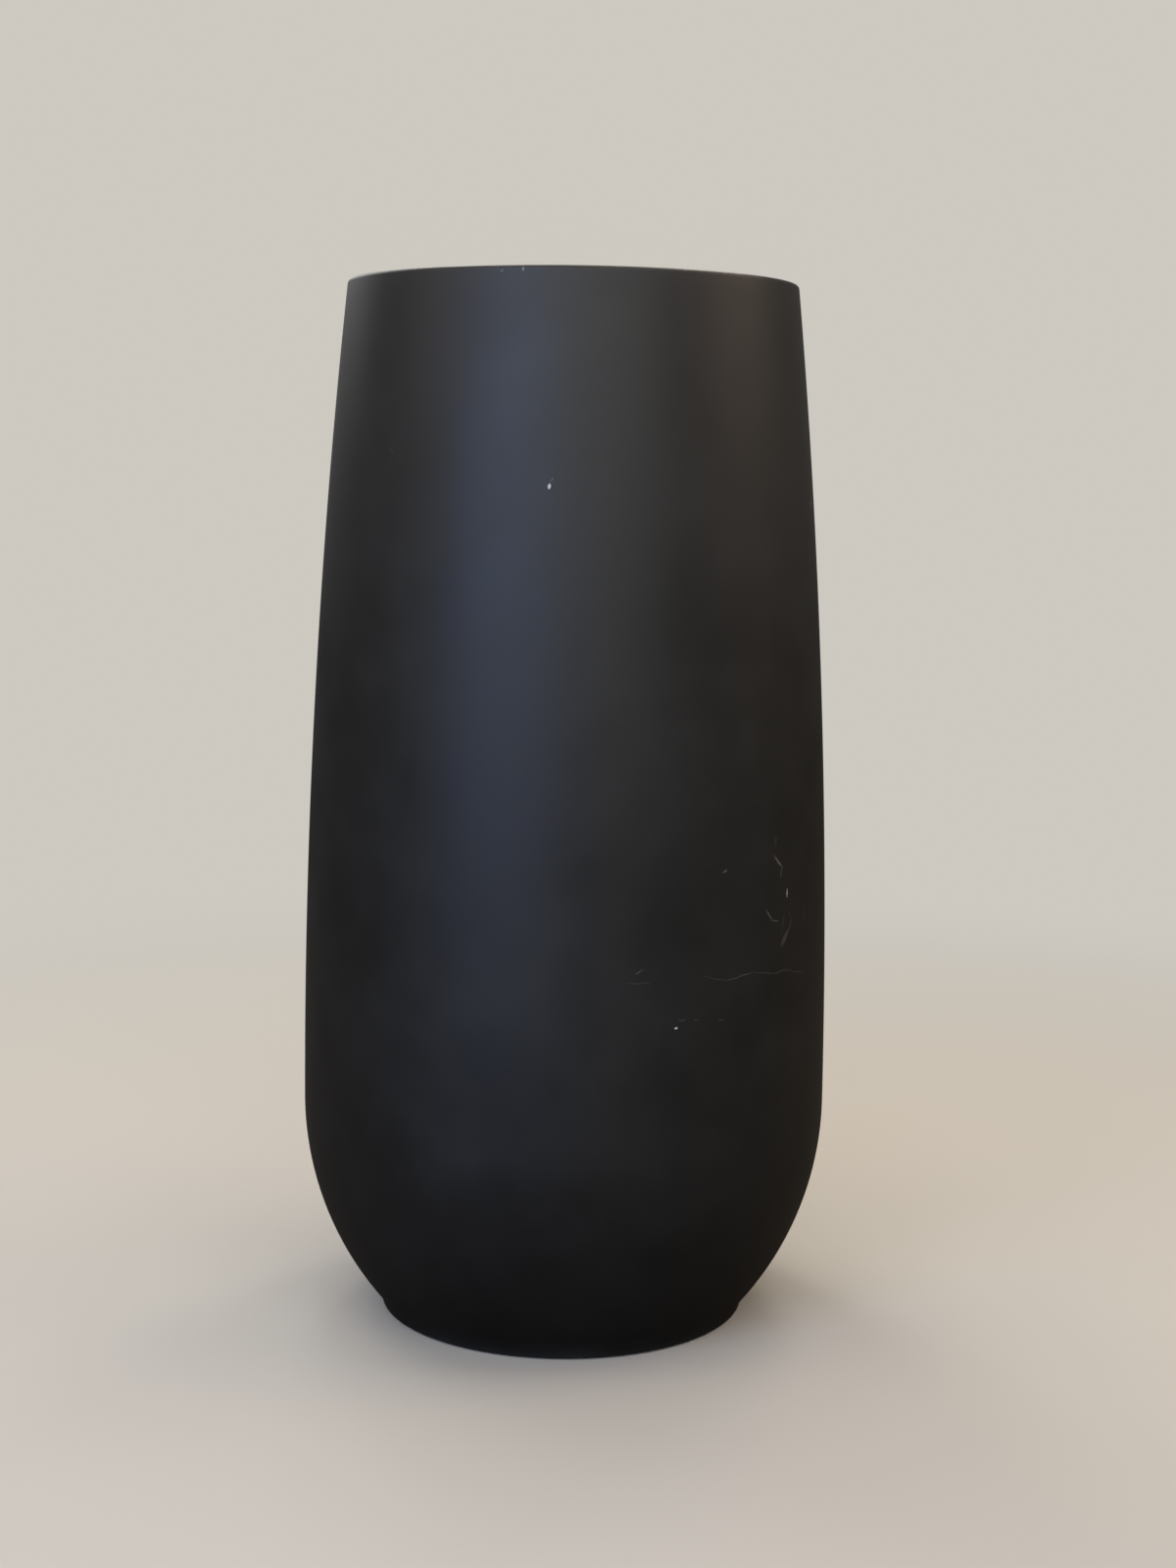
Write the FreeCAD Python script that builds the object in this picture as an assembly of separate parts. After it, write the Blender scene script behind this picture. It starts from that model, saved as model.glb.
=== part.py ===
# Tall round floor planter with a lift-out planting insert.
#
# The pot is a moulded glass-fibre shell. Its flank narrows slowly from a low belly up
# to the mouth, and quickly down to a small foot with an upright edge. A ledge inside
# the mouth carries a moulded insert, which hangs in the pot by its flange. Two bent
# handles of square bar lie on that flange, round the insert's lip, and fold up to lift
# the insert out. A sleeve on each makes the grip. A rubber plug closes the drain hole,
# and four rubber pads keep the foot off the floor.
#
# Lengths are in millimetres and angles in degrees. +Z is up, and the origin is on the
# floor under the middle of the pot. The handles fold up from the left (-X) and the
# right (+X).
import FreeCAD, Part
import math
import os

Vector = FreeCAD.Vector

# Pot, outer form
POT_HEIGHT = 780.0
BELLY_RADIUS = 200.0
BELLY_HEIGHT = 166.0
RIM_RADIUS = 167.2
FOOT_RADIUS = 140.0
FOOT_EDGE = 5.0
HEEL_FLANK = 14.0

# Pot, walls and edges
POT_WALL = 6.0
POT_FLOOR = 8.0
RIM_WALL = 8.0
RIM_ROUND = 5.0
RIM_ROUND_SHARE = 0.65
RIM_BEVEL = 1.5
RIM_BEVEL_SHARE = 0.2
LEDGE_THICKNESS = 8.0

# Pot, how many bands its round stretches are turned in
BELLY_BANDS = 8
FLANK_BANDS = 6
INNER_BELLY_BANDS = 4
INNER_FLANK_BANDS = 6
RIM_BANDS = 3

# Pot, underside
FOOT_RING_WIDTH = 26.0
BASE_RECESS = 6.0
RECESS_DRAFT = 3.0
DRAIN_RADIUS = 12.5

# Foot pads
PAD_COUNT = 4
PAD_WIDTH = 18.0
PAD_THICKNESS = 3.0
PAD_POCKET_DEPTH = 1.5
PAD_POCKET_GAP = 0.5
PAD_BEVEL = 0.5
PAD_FIRST_ANGLE = 45.0

# Drain plug
PLUG_FLANGE_RADIUS = 18.0
PLUG_FLANGE = 3.0
PLUG_GAP = 0.3
PLUG_REACH = 2.0
PLUG_TAB_WIDTH = 18.0
PLUG_TAB_THICKNESS = 4.0
PLUG_TAB_HEIGHT = 14.0
PLUG_TAB_BEVEL = 4.0

# Planting insert, flange and lip
RIM_SINK = 2.0
INSERT_WALL = 3.0
INSERT_GAP = 1.0
CHANNEL_WIDTH = 14.7
LEDGE_GAP = 1.5
GRIP_GAP = 1.0
HANDLE_SEAT = 0.3
HINGE_COVER = 5.2
HINGE_GAP = 0.3
STOP_REACH = 12.0
STOP_SINK = 0.8
NOTCH_WIDTH = 60.0
NOTCH_BEVEL = 4.0
NOTCH_SILL = 1.5

# Planting insert, bucket
BUCKET_DEPTH = 290.0
BUCKET_DRAFT = 5.0
RIB_HEIGHT = 6.0
RIB_COUNT = 6
RIB_WIDTH = 3.0
RIB_INSET = 6.0
HUB_RADIUS = 14.0
BUCKET_DRAIN_RADIUS = 5.0
DRAIN_CIRCLE_SHARE = 0.6

# Handles
BAR_WIDTH = 6.0
PIN_RADIUS = 2.5
PIN_REACH = 3.0
PIVOT_OFFSET = 16.0
GRIP_WIDTH = 9.0
GRIP_BORE_GAP = 0.1
GRIP_LENGTH = 78.0
GRIP_BEVEL = 1.5
GRIP_SIDE = 80.0
ARM_BENDS = 3

# One overrun carries every cut past the faces that it opens
OVERRUN = 2.0

# Places that differ by less than this count as the same
TOUCH = 0.05

UP = Vector(0, 0, 1)
ORIGIN = Vector(0, 0, 0)

# Levels, from the floor up
base_z = PAD_THICKNESS - PAD_POCKET_DEPTH
foot_top_z = base_z + FOOT_EDGE
recess_z = base_z + BASE_RECESS
floor_z = recess_z + POT_FLOOR
lip_z = POT_HEIGHT - RIM_SINK
pivot_z = lip_z - HINGE_COVER
flange_z = pivot_z - GRIP_WIDTH / 2 - HANDLE_SEAT
ledge_z = flange_z - INSERT_WALL
rib_z = ledge_z - BUCKET_DEPTH
bucket_z = rib_z + RIB_HEIGHT

# Radii at the mouth, from the rim inwards
pocket_radius = RIM_RADIUS - RIM_WALL
flange_radius = pocket_radius - INSERT_GAP
bucket_radius = flange_radius - CHANNEL_WIDTH
bucket_inner_radius = bucket_radius - INSERT_WALL
hoop_radius = math.hypot(bucket_radius + GRIP_GAP + GRIP_WIDTH / 2, GRIP_SIDE / 2)
ledge_radius = bucket_radius + LEDGE_GAP
bucket_foot_radius = bucket_radius - BUCKET_DRAFT


def point(radius, height):
    """Return a point of a half section, which lies in the XZ plane."""
    return Vector(radius, 0, height)


def line(start, end):
    """Return a straight edge."""
    return Part.LineSegment(start, end).toShape()


def revolve(edges):
    """Turn a closed half section of edges, given in order, round the Z axis."""
    return Part.Face(Part.Wire(edges)).revolve(ORIGIN, UP, 360)


def revolve_corners(corners):
    """Turn a closed half section with straight sides round the Z axis."""
    return Part.Face(Part.makePolygon(corners + corners[:1])).revolve(ORIGIN, UP, 360)


def cylinder(radius, low_z, high_z, x=0, y=0):
    """Return an upright cylinder between two levels."""
    return Part.makeCylinder(radius, high_z - low_z, Vector(x, y, low_z))


def polar(shape, count, first_angle=0):
    """Return copies of a shape, evenly spaced round the Z axis."""
    turned = []
    for index in range(count):
        copy = shape.copy()
        copy.rotate(ORIGIN, UP, first_angle + index * 360 / count)
        turned.append(copy)
    return turned


def bands(centre, radius, start_angle, end_angle, count):
    """Return an arc in the XZ plane as equal straight sides, whose corners lie on it.

    Args:
        centre: the arc's centre.
        radius: the arc's radius.
        start_angle: angle of the first corner, in radians above the +X direction.
        end_angle: angle of the last corner.
        count: number of sides.
    """
    step = (end_angle - start_angle) / count
    angles = [start_angle + step * i for i in range(count + 1)]
    corners = [centre + point(radius * math.cos(a), radius * math.sin(a)) for a in angles]
    return [taper(a, b) for a, b in zip(corners, corners[1:])]


def taper(start, end):
    """Return a straight side that leans, as a curve of degree one, which turns in few facets."""
    side = Part.BezierCurve()
    side.setPoles([start, end])
    return side.toShape()


def join(corners):
    """Return the straight edges that join points in order."""
    return [line(a, b) for a, b in zip(corners, corners[1:])]


def belly_to_foot():
    """Work out the arc and the straight heel between the belly and the foot.

    The arc is upright at the belly, and the heel leaves it without a kink and ends at
    the foot's upper corner.

    Returns:
        The arc's centre, its radius, and the heel's lean from upright in radians.
    """
    inset = BELLY_RADIUS - FOOT_RADIUS
    drop = BELLY_HEIGHT - foot_top_z
    radius = (inset ** 2 + drop ** 2 - HEEL_FLANK ** 2) / (2 * inset)
    lean = math.atan2(drop, radius - inset) - math.atan2(HEEL_FLANK, radius)
    return point(BELLY_RADIUS - radius, BELLY_HEIGHT), radius, lean


def belly_to_rim():
    """Return the centre and the radius of the long arc that is upright at the belly."""
    inset = BELLY_RADIUS - RIM_RADIUS
    rise = POT_HEIGHT - BELLY_HEIGHT
    radius = (inset ** 2 + rise ** 2) / (2 * inset)
    return point(BELLY_RADIUS - radius, BELLY_HEIGHT), radius


def outer_flank(top_angle):
    """Return the outer flank's edges, from the foot's corner up to an angle of the long arc."""
    low_centre, low_radius, lean = belly_to_foot()
    high_centre, high_radius = belly_to_rim()
    belly = bands(low_centre, low_radius, -lean, 0, BELLY_BANDS)
    flank = bands(high_centre, high_radius, 0, top_angle, FLANK_BANDS)
    foot_corner = point(FOOT_RADIUS, foot_top_z)
    return [line(foot_corner, start_of(belly))] + belly + flank


def inner_flank(top_z):
    """Return the inner flank's edges, one wall inside the outer arcs, from the floor up."""
    low_centre, low_radius, lean = belly_to_foot()
    high_centre, high_radius = belly_to_rim()
    low_radius -= POT_WALL
    high_radius -= POT_WALL
    floor_angle = math.asin((floor_z - BELLY_HEIGHT) / low_radius)
    top_angle = math.asin((top_z - BELLY_HEIGHT) / high_radius)
    belly = bands(low_centre, low_radius, floor_angle, 0, INNER_BELLY_BANDS)
    return belly + bands(high_centre, high_radius, 0, top_angle, INNER_FLANK_BANDS)


def start_of(edges):
    """Return the first point of a run of edges."""
    return edges[0].valueAt(edges[0].FirstParameter)


def end_of(edges):
    """Return the last point of a run of edges."""
    return edges[-1].valueAt(edges[-1].LastParameter)


def rim_round():
    """Work out the rounding of the rim, which leaves the flank without a kink.

    Returns:
        The rounding's centre, its radius, and its first angle in radians.
    """
    radius = min(RIM_ROUND, RIM_WALL * RIM_ROUND_SHARE)
    flank_centre, flank_radius = belly_to_rim()
    rise = POT_HEIGHT - radius - flank_centre.z
    angle = math.asin(rise / (flank_radius - radius))
    run = (flank_radius - radius) * math.cos(angle)
    return flank_centre + point(run, rise), radius, angle


def pot_section():
    """Return the half section of the shell's wall: up the outside and down the inside."""
    round_centre, round_radius, round_angle = rim_round()
    outside = outer_flank(round_angle)
    outside += bands(round_centre, round_radius, round_angle, math.pi / 2, RIM_BANDS)
    under_ledge_z = ledge_z - LEDGE_THICKNESS
    inside = inner_flank(under_ledge_z)
    bevel = min(RIM_BEVEL, RIM_WALL * RIM_BEVEL_SHARE)
    mouth = [
        end_of(outside),
        point(pocket_radius + bevel, POT_HEIGHT),
        point(pocket_radius, POT_HEIGHT - bevel),
        point(pocket_radius, ledge_z),
        point(ledge_radius, ledge_z),
        point(ledge_radius, under_ledge_z),
        end_of(inside),
    ]
    base = [
        start_of(inside),
        point(0, floor_z),
        point(0, base_z),
        point(FOOT_RADIUS, base_z),
        start_of(outside),
    ]
    return outside + join(mouth) + inside[::-1] + join(base)


def pad_block(width, low_z, high_z):
    """Return a square block on the +X side, at the mid circle of the foot ring."""
    circle = FOOT_RADIUS - FOOT_RING_WIDTH / 2
    corner = Vector(circle - width / 2, -width / 2, low_z)
    return Part.makeBox(width, width, high_z - low_z, corner)


def pot_shell():
    """Return the moulded shell: one wall, a ledge, a recessed base and a drain hole."""
    shell = revolve(pot_section())
    recess_radius = FOOT_RADIUS - FOOT_RING_WIDTH
    recess = revolve_corners(
        [
            point(0, base_z - OVERRUN),
            point(recess_radius, base_z - OVERRUN),
            point(recess_radius, base_z),
            point(recess_radius - RECESS_DRAFT, recess_z),
            point(0, recess_z),
        ]
    )
    drain = cylinder(DRAIN_RADIUS, 0, floor_z + OVERRUN)
    pocket = pad_block(PAD_WIDTH + 2 * PAD_POCKET_GAP, 0, base_z + PAD_POCKET_DEPTH)
    return shell.cut([recess, drain] + polar(pocket, PAD_COUNT, PAD_FIRST_ANGLE))


def foot_pads():
    """Return the rubber pads, seated in the pockets of the foot ring."""
    pad = pad_block(PAD_WIDTH, 0, PAD_THICKNESS)
    low_edges = [edge for edge in pad.Edges if edge.BoundBox.ZMax < PAD_BEVEL]
    return Part.makeCompound(polar(pad.makeChamfer(PAD_BEVEL, low_edges), PAD_COUNT, PAD_FIRST_ANGLE))


def drain_plug():
    """Return the rubber plug: a stem in the hole, a flange on the floor and a pull tab."""
    flange_top = floor_z + PLUG_FLANGE
    stem = cylinder(DRAIN_RADIUS - PLUG_GAP, recess_z - PLUG_REACH, floor_z)
    flange = cylinder(PLUG_FLANGE_RADIUS, floor_z, flange_top)
    corner = Vector(-PLUG_TAB_WIDTH / 2, -PLUG_TAB_THICKNESS / 2, flange_top)
    tab = Part.makeBox(PLUG_TAB_WIDTH, PLUG_TAB_THICKNESS, PLUG_TAB_HEIGHT, corner)
    tab_top = flange_top + PLUG_TAB_HEIGHT
    ends = [edge for edge in tab.Edges if edge.BoundBox.ZMin > tab_top - TOUCH]
    ends = [edge for edge in ends if edge.BoundBox.XLength < TOUCH]
    tab = tab.makeChamfer(PLUG_TAB_BEVEL, ends)
    return flange.fuse([stem, tab])


def insert_body():
    """Return the insert as turned: upright lip, flange and tapered bucket."""
    floor_top = bucket_z + INSERT_WALL
    foot_inner_radius = bucket_foot_radius - INSERT_WALL
    inside = taper(point(foot_inner_radius, floor_top), point(bucket_inner_radius, ledge_z))
    mouth = [
        point(bucket_inner_radius, ledge_z),
        point(bucket_inner_radius, lip_z),
        point(bucket_radius, lip_z),
        point(bucket_radius, flange_z),
        point(flange_radius, flange_z),
        point(flange_radius, ledge_z),
        point(bucket_radius, ledge_z),
    ]
    outside = taper(point(bucket_radius, ledge_z), point(bucket_foot_radius, bucket_z))
    base = [
        point(bucket_foot_radius, bucket_z),
        point(0, bucket_z),
        point(0, floor_top),
        point(foot_inner_radius, floor_top),
    ]
    return revolve([inside] + join(mouth) + [outside] + join(base))


def handle_stops():
    """Return the blocks on the flange that the raised handles come to stand against."""
    half_width = PIVOT_OFFSET - BAR_WIDTH / 2 - HANDLE_SEAT
    start_y = bucket_radius - INSERT_WALL / 2
    size = (2 * half_width, STOP_REACH + INSERT_WALL / 2, lip_z - STOP_SINK - ledge_z)
    return polar(Part.makeBox(*size, Vector(-half_width, start_y, ledge_z)), 2)


def thumb_notches():
    """Return the cutters that open the bucket's lip beside the middle of each grip."""
    sill_z = flange_z + NOTCH_SILL
    half = NOTCH_WIDTH / 2
    top_z = lip_z + OVERRUN
    sides = [
        Vector(PIVOT_OFFSET, -half, top_z),
        Vector(PIVOT_OFFSET, -half, sill_z + NOTCH_BEVEL),
        Vector(PIVOT_OFFSET, NOTCH_BEVEL - half, sill_z),
        Vector(PIVOT_OFFSET, half - NOTCH_BEVEL, sill_z),
        Vector(PIVOT_OFFSET, half, sill_z + NOTCH_BEVEL),
        Vector(PIVOT_OFFSET, half, top_z),
    ]
    outline = Part.Face(Part.makePolygon(sides + sides[:1]))
    return polar(outline.extrude(Vector(bucket_radius, 0, 0)), 2)


def bucket_ribs():
    """Return the ribs and the hub that the bucket stands on when it is lifted out."""
    reach = bucket_foot_radius - RIB_INSET
    corner = Vector(0, -RIB_WIDTH / 2, rib_z)
    rib = Part.makeBox(reach, RIB_WIDTH, RIB_HEIGHT + INSERT_WALL / 2, corner)
    hub = cylinder(HUB_RADIUS, rib_z, bucket_z + INSERT_WALL / 2)
    return polar(rib, RIB_COUNT) + [hub]


def bucket_drains():
    """Return the cutters of the drain holes between the ribs."""
    low_z = rib_z - OVERRUN
    high_z = bucket_z + INSERT_WALL + OVERRUN
    circle = bucket_foot_radius * DRAIN_CIRCLE_SHARE
    hole = cylinder(BUCKET_DRAIN_RADIUS, low_z, high_z, circle)
    return polar(hole, RIB_COUNT, 180 / RIB_COUNT)


def hinge_holes():
    """Return the cutters of the four holes in the lip that take the handles' pins."""
    length = 2 * hoop_radius
    holes = []
    for side in (-1, 1):
        start = Vector(side * PIVOT_OFFSET, -length / 2, pivot_z)
        holes.append(Part.makeCylinder(PIN_RADIUS + HINGE_GAP, length, start, Vector(0, 1, 0)))
    return holes


def planting_insert():
    """Return the moulded insert, which hangs in the pot by its flange."""
    body = insert_body().fuse(handle_stops() + bucket_ribs())
    return body.cut(thumb_notches() + bucket_drains() + hinge_holes()).removeSplitter()


def bar_bends():
    """Return the plan angles of the right handle's bends, from one pivot to the other.

    The middle side is straight for the grip, and the arms follow the lip in short sides.
    """
    grip_angle = math.asin(GRIP_SIDE / 2 / hoop_radius)
    pivot_angle = math.acos(PIVOT_OFFSET / hoop_radius)
    step = (pivot_angle - grip_angle) / ARM_BENDS
    half = [grip_angle + step * i for i in range(ARM_BENDS + 1)]
    return [-angle for angle in reversed(half)] + half


def bar_line(offset):
    """Return the plan points of the bar's middle line, moved outwards by an offset."""
    angles = bar_bends()
    turns = [(a + b) / 2 for a, b in zip(angles, angles[1:])]
    turns = [-math.pi / 2] + turns + [math.pi / 2]
    places = []
    for angle, before, after in zip(angles, turns, turns[1:]):
        facing = (before + after) / 2
        reach = offset / math.cos((after - before) / 2)
        start = Vector(math.cos(angle), math.sin(angle), 0) * hoop_radius
        places.append(start + Vector(math.cos(facing), math.sin(facing), 0) * reach)
    return places


def handle_bar():
    """Return the right handle's bar, with round noses and two hinge pins turned inwards."""
    half = BAR_WIDTH / 2
    outline = bar_line(half) + bar_line(-half)[::-1]
    plan = Part.Face(Part.makePolygon(outline + outline[:1]))
    bar = plan.extrude(Vector(0, 0, BAR_WIDTH))
    bar.translate(Vector(0, 0, pivot_z - half))
    pin_start = bucket_inner_radius - PIN_REACH
    pivot_y = bar_line(0)[-1].y
    for direction in (-1, 1):
        along = Vector(0, direction, 0)
        inner_face = Vector(PIVOT_OFFSET, direction * (pivot_y - half), pivot_z)
        nose = Part.makeCylinder(half, BAR_WIDTH, inner_face, along)
        pin_end = Vector(PIVOT_OFFSET, direction * pin_start, pivot_z)
        pin = Part.makeCylinder(PIN_RADIUS, pivot_y - pin_start, pin_end, along)
        bar = bar.fuse([nose, pin])
    return bar.removeSplitter()


def handle_grip():
    """Return the right handle's moulded grip, a straight sleeve on the middle side."""
    middle_x = hoop_radius * math.cos(bar_bends()[ARM_BENDS + 1])
    bore = BAR_WIDTH + 2 * GRIP_BORE_GAP
    blocks = []
    for width in (GRIP_WIDTH, bore):
        corner = Vector(middle_x - width / 2, -GRIP_LENGTH / 2, pivot_z - width / 2)
        blocks.append(Part.makeBox(width, GRIP_LENGTH, width, corner))
    outer, inner = blocks
    long_edges = [edge for edge in outer.Edges if edge.BoundBox.YLength > GRIP_WIDTH]
    return outer.makeChamfer(GRIP_BEVEL, long_edges).cut(inner)


def opposite(shape):
    """Return a copy turned half a turn, to the other side of the mouth."""
    return polar(shape, 1, 180)[0]


def build():
    """Make every piece and write one STEP file for each."""
    bar = handle_bar()
    grip = handle_grip()
    pieces = {
        "pot_shell": pot_shell(),
        "foot_pads": foot_pads(),
        "drain_plug": drain_plug(),
        "planting_insert": planting_insert(),
        "right_handle_bar": bar,
        "right_handle_grip": grip,
        "left_handle_bar": opposite(bar),
        "left_handle_grip": opposite(grip),
    }
    os.makedirs("parts", exist_ok=True)
    for name, shape in pieces.items():
        shape.exportStep("parts/" + name + ".step")
        print(name, "solids", len(shape.Solids), "valid", shape.isValid(), "volume", round(shape.Volume))


build()
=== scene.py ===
"""Looks of a tall matt-black floor planter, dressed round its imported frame.

The pot is a glass-fibre shell with a matt gel coat. A moulded insert hangs in its mouth,
with two fold-up bar handles and their push-on grips. A rubber plug closes the drain hole,
and four rubber pads carry the foot. The scene is in metres, and the sizes of the pieces
are in millimetres. +Z is up, and the photograph looks along +Y.
"""
import logging
import math
from collections.abc import Callable
from dataclasses import dataclass
from enum import Enum
from functools import partial

import bmesh
import bpy
from bmesh.types import BMesh, BMFace
from bpy.types import ID, Material, Mesh, Node, NodeSocket, NodeTree, Object, World
from mathutils import Matrix, Vector


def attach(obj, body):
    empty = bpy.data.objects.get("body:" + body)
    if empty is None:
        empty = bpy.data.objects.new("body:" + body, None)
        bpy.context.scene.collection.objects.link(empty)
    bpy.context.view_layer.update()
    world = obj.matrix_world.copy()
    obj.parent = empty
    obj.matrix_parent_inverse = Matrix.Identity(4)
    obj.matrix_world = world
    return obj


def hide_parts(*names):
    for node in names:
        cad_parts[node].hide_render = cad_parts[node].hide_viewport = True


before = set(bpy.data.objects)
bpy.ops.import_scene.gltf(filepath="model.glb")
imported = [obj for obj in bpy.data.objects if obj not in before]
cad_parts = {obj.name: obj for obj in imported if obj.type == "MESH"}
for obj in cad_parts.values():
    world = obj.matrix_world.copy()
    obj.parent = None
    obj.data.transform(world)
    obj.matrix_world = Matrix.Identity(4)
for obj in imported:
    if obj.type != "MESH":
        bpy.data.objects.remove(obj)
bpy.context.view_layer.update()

LOG = logging.getLogger("planter")
MM = 0.001

Pair = tuple[float, float]
Triple = tuple[float, float, float]
Colour = tuple[float, float, float, float]
Sockets = dict[str | int, object]
Put = Callable[..., Node]


class Body(Enum):
    """The bodies that pieces ride on."""

    POT = "pot"
    PLUG = "plug"
    INSERT = "insert"
    RIGHT_HANDLE = "right_handle"
    LEFT_HANDLE = "left_handle"


class Side(Enum):
    """The two sides of the mouth that a handle folds up from."""

    RIGHT = "right"
    LEFT = "left"


def metres(*sizes: float) -> tuple[float, ...]:
    """Turn sizes in millimetres into metres."""
    return tuple(size * MM for size in sizes)


def linear(code: str) -> Colour:
    """Turn an sRGB hex colour into linear light.

    Args:
        code: the colour, such as "#1c1c1d".

    Returns:
        Red, green, blue and an alpha of 1.
    """
    parts = [int(code[i : i + 2], 16) / 255 for i in (1, 3, 5)]
    light = [p / 12.92 if p <= 0.04045 else ((p + 0.055) / 1.055) ** 2.4 for p in parts]
    return (light[0], light[1], light[2], 1.0)


def add(tree: NodeTree, kind: str, sockets: Sockets | None = None, **settings: object) -> Node:
    """Add a node with its settings, and set or link its inputs.

    Args:
        tree: the tree that gets the node.
        kind: the node's type name.
        sockets: input names or numbers, each with a value, an output, a node (for its
            first output) or a list of these.
        settings: the node's own properties.

    Returns:
        The new node.
    """
    node = tree.nodes.new(kind)
    for name, value in settings.items():
        setattr(node, name, value)
    for key, value in (sockets or {}).items():
        for item in value if isinstance(value, list) else [value]:
            source = item.outputs[0] if isinstance(item, Node) else item
            if isinstance(source, NodeSocket):
                tree.links.new(source, node.inputs[key])
            else:
                node.inputs[key].default_value = source
    return node


def span(value: object, source: Pair = (0.0, 1.0), target: Pair = (0.0, 1.0)) -> Sockets:
    """Return the inputs that map a value from one range to another.

    Args:
        value: the node or output to map.
        source: the two ends of its range.
        target: what these two become.

    Returns:
        The inputs' names and values.
    """
    ends = dict(zip(("From Min", "From Max", "To Min", "To Max"), (*source, *target)))
    return {"Value": value, **ends}


def tones(factor: object, low: object, high: object) -> Sockets:
    """Return the inputs that mix two colours.

    Args:
        factor: the node or output that mixes them.
        low: the colour at a factor of 0, as a hex code or an output.
        high: the colour at a factor of 1.

    Returns:
        The inputs' names or numbers, and their values.
    """
    pair = [linear(tone) if isinstance(tone, str) else tone for tone in (low, high)]
    return {"Factor": factor, 6: pair[0], 7: pair[1]}


def new_material(name: str) -> tuple[Material, Put, NodeSocket]:
    """Make an empty node material.

    Args:
        name: the material's name.

    Returns:
        The material, a function that adds to its tree, and its Object coordinates.
    """
    material = bpy.data.materials.new(name)
    material.use_nodes = True
    material.node_tree.nodes.clear()
    put = partial(add, material.node_tree)
    return material, put, put("ShaderNodeTexCoord").outputs["Object"]


def coat(put: Put, colour: Node, roughness: Node, normal: Node, **more: float) -> None:
    """Finish a material with its shader.

    Args:
        put: the function that adds to the material's tree.
        colour: the mix that gives its colour.
        roughness: the node that gives its roughness.
        normal: the node that gives its relief.
        more: plain values of the shader's other inputs.
    """
    sockets = {"Base Color": colour.outputs[2], "Roughness": roughness, "Normal": normal}
    shader = put("ShaderNodeBsdfPrincipled", {**sockets, **more})
    put("ShaderNodeOutputMaterial", {"Surface": shader})


@dataclass(frozen=True)
class Grain:
    """The measures of an irregular pattern.

    Attributes:
        width: width of its largest patches, in millimetres.
        detail: how many finer layers lie on them.
        roughness: how strong the finer layers are.
    """

    width: float
    detail: float
    roughness: float

    def at(self, place: NodeSocket) -> Sockets:
        """Return the inputs of a noise that reads the given coordinates."""
        layers = {"Detail": self.detail, "Roughness": self.roughness}
        return {"Vector": place, "Scale": 1 / (self.width * MM), **layers}


@dataclass(frozen=True)
class Mark:
    """One chip, speck or hairline scratch on the pot's outer face.

    Attributes:
        azimuth: angle round the pot from the front, in degrees towards +X.
        height: height above the floor, in millimetres.
        length: length of the mark, in millimetres.
        width: width of the mark, in millimetres.
        tilt: how far the mark leans up from level, in degrees.
        shade: how pale it is, from 0 to 1.
    """

    azimuth: float
    height: float
    length: float
    width: float
    tilt: float
    shade: float

    def frame_on(self, radius: float, depth: float) -> Sockets:
        """Return the place, turn and size of the mark's own coordinates.

        Args:
            radius: the pot's radius at the mark, in millimetres.
            depth: how far the mark reaches into the wall.

        Returns:
            The inputs' names and values.
        """
        turn, lean = math.radians(self.azimuth), math.radians(self.tilt)
        out = Vector((math.sin(turn), -math.cos(turn), 0))
        level = Vector((math.cos(turn), math.sin(turn), 0))
        along = level * math.cos(lean) + Vector((0, 0, 1)) * math.sin(lean)
        centre = out * radius * MM
        centre.z = self.height * MM
        facing = Matrix((along, out.cross(along), out)).transposed().to_euler()
        scale = (self.length / 2 * MM, self.width / 2 * MM, depth * MM)
        return {"Location": centre, "Rotation": facing, "Scale": scale}


@dataclass(frozen=True)
class Flank:
    """The pot's outer form, in millimetres.

    Attributes:
        height: height of the rim.
        belly_radius: widest radius.
        belly_height: height of the widest ring.
        rim_radius: radius at which the long arc would meet the rim's level.
        foot_radius: radius of the foot.
        foot_low: level of the foot's underside.
        foot_top: level of the upper end of the foot's upright edge.
        heel: length of the straight heel above that edge.
    """

    height: float = 780.0
    belly_radius: float = 200.0
    belly_height: float = 166.0
    rim_radius: float = 167.2
    foot_radius: float = 140.0
    foot_low: float = 1.5
    foot_top: float = 6.5
    heel: float = 14.0

    def lower(self) -> tuple[float, float, float]:
        """Work out the lower arc, from the heel up to the widest ring.

        Returns:
            The arc's centre radius, its radius and the heel's lean in radians.
        """
        inset = self.belly_radius - self.foot_radius
        drop = self.belly_height - self.foot_top
        radius = (inset**2 + drop**2 - self.heel**2) / (2 * inset)
        lean = math.atan2(drop, radius - inset) - math.atan2(self.heel, radius)
        return self.belly_radius - radius, radius, lean

    def upper(self) -> tuple[float, float]:
        """Work out the long arc, from the widest ring up to the rim.

        Returns:
            The arc's centre radius and its radius.
        """
        inset = self.belly_radius - self.rim_radius
        rise = self.height - self.belly_height
        radius = (inset**2 + rise**2) / (2 * inset)
        return self.belly_radius - radius, radius

    def radius_at(self, height: float, inwards: float = 0.0) -> float:
        """Return the flank's radius at a height.

        Args:
            height: height above the floor.
            inwards: how far inside the outer face.

        Returns:
            The radius, in millimetres.
        """
        centre, radius = self.lower()[:2] if height < self.belly_height else self.upper()
        rise = height - self.belly_height
        return centre + math.sqrt((radius - inwards) ** 2 - rise**2)


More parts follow.
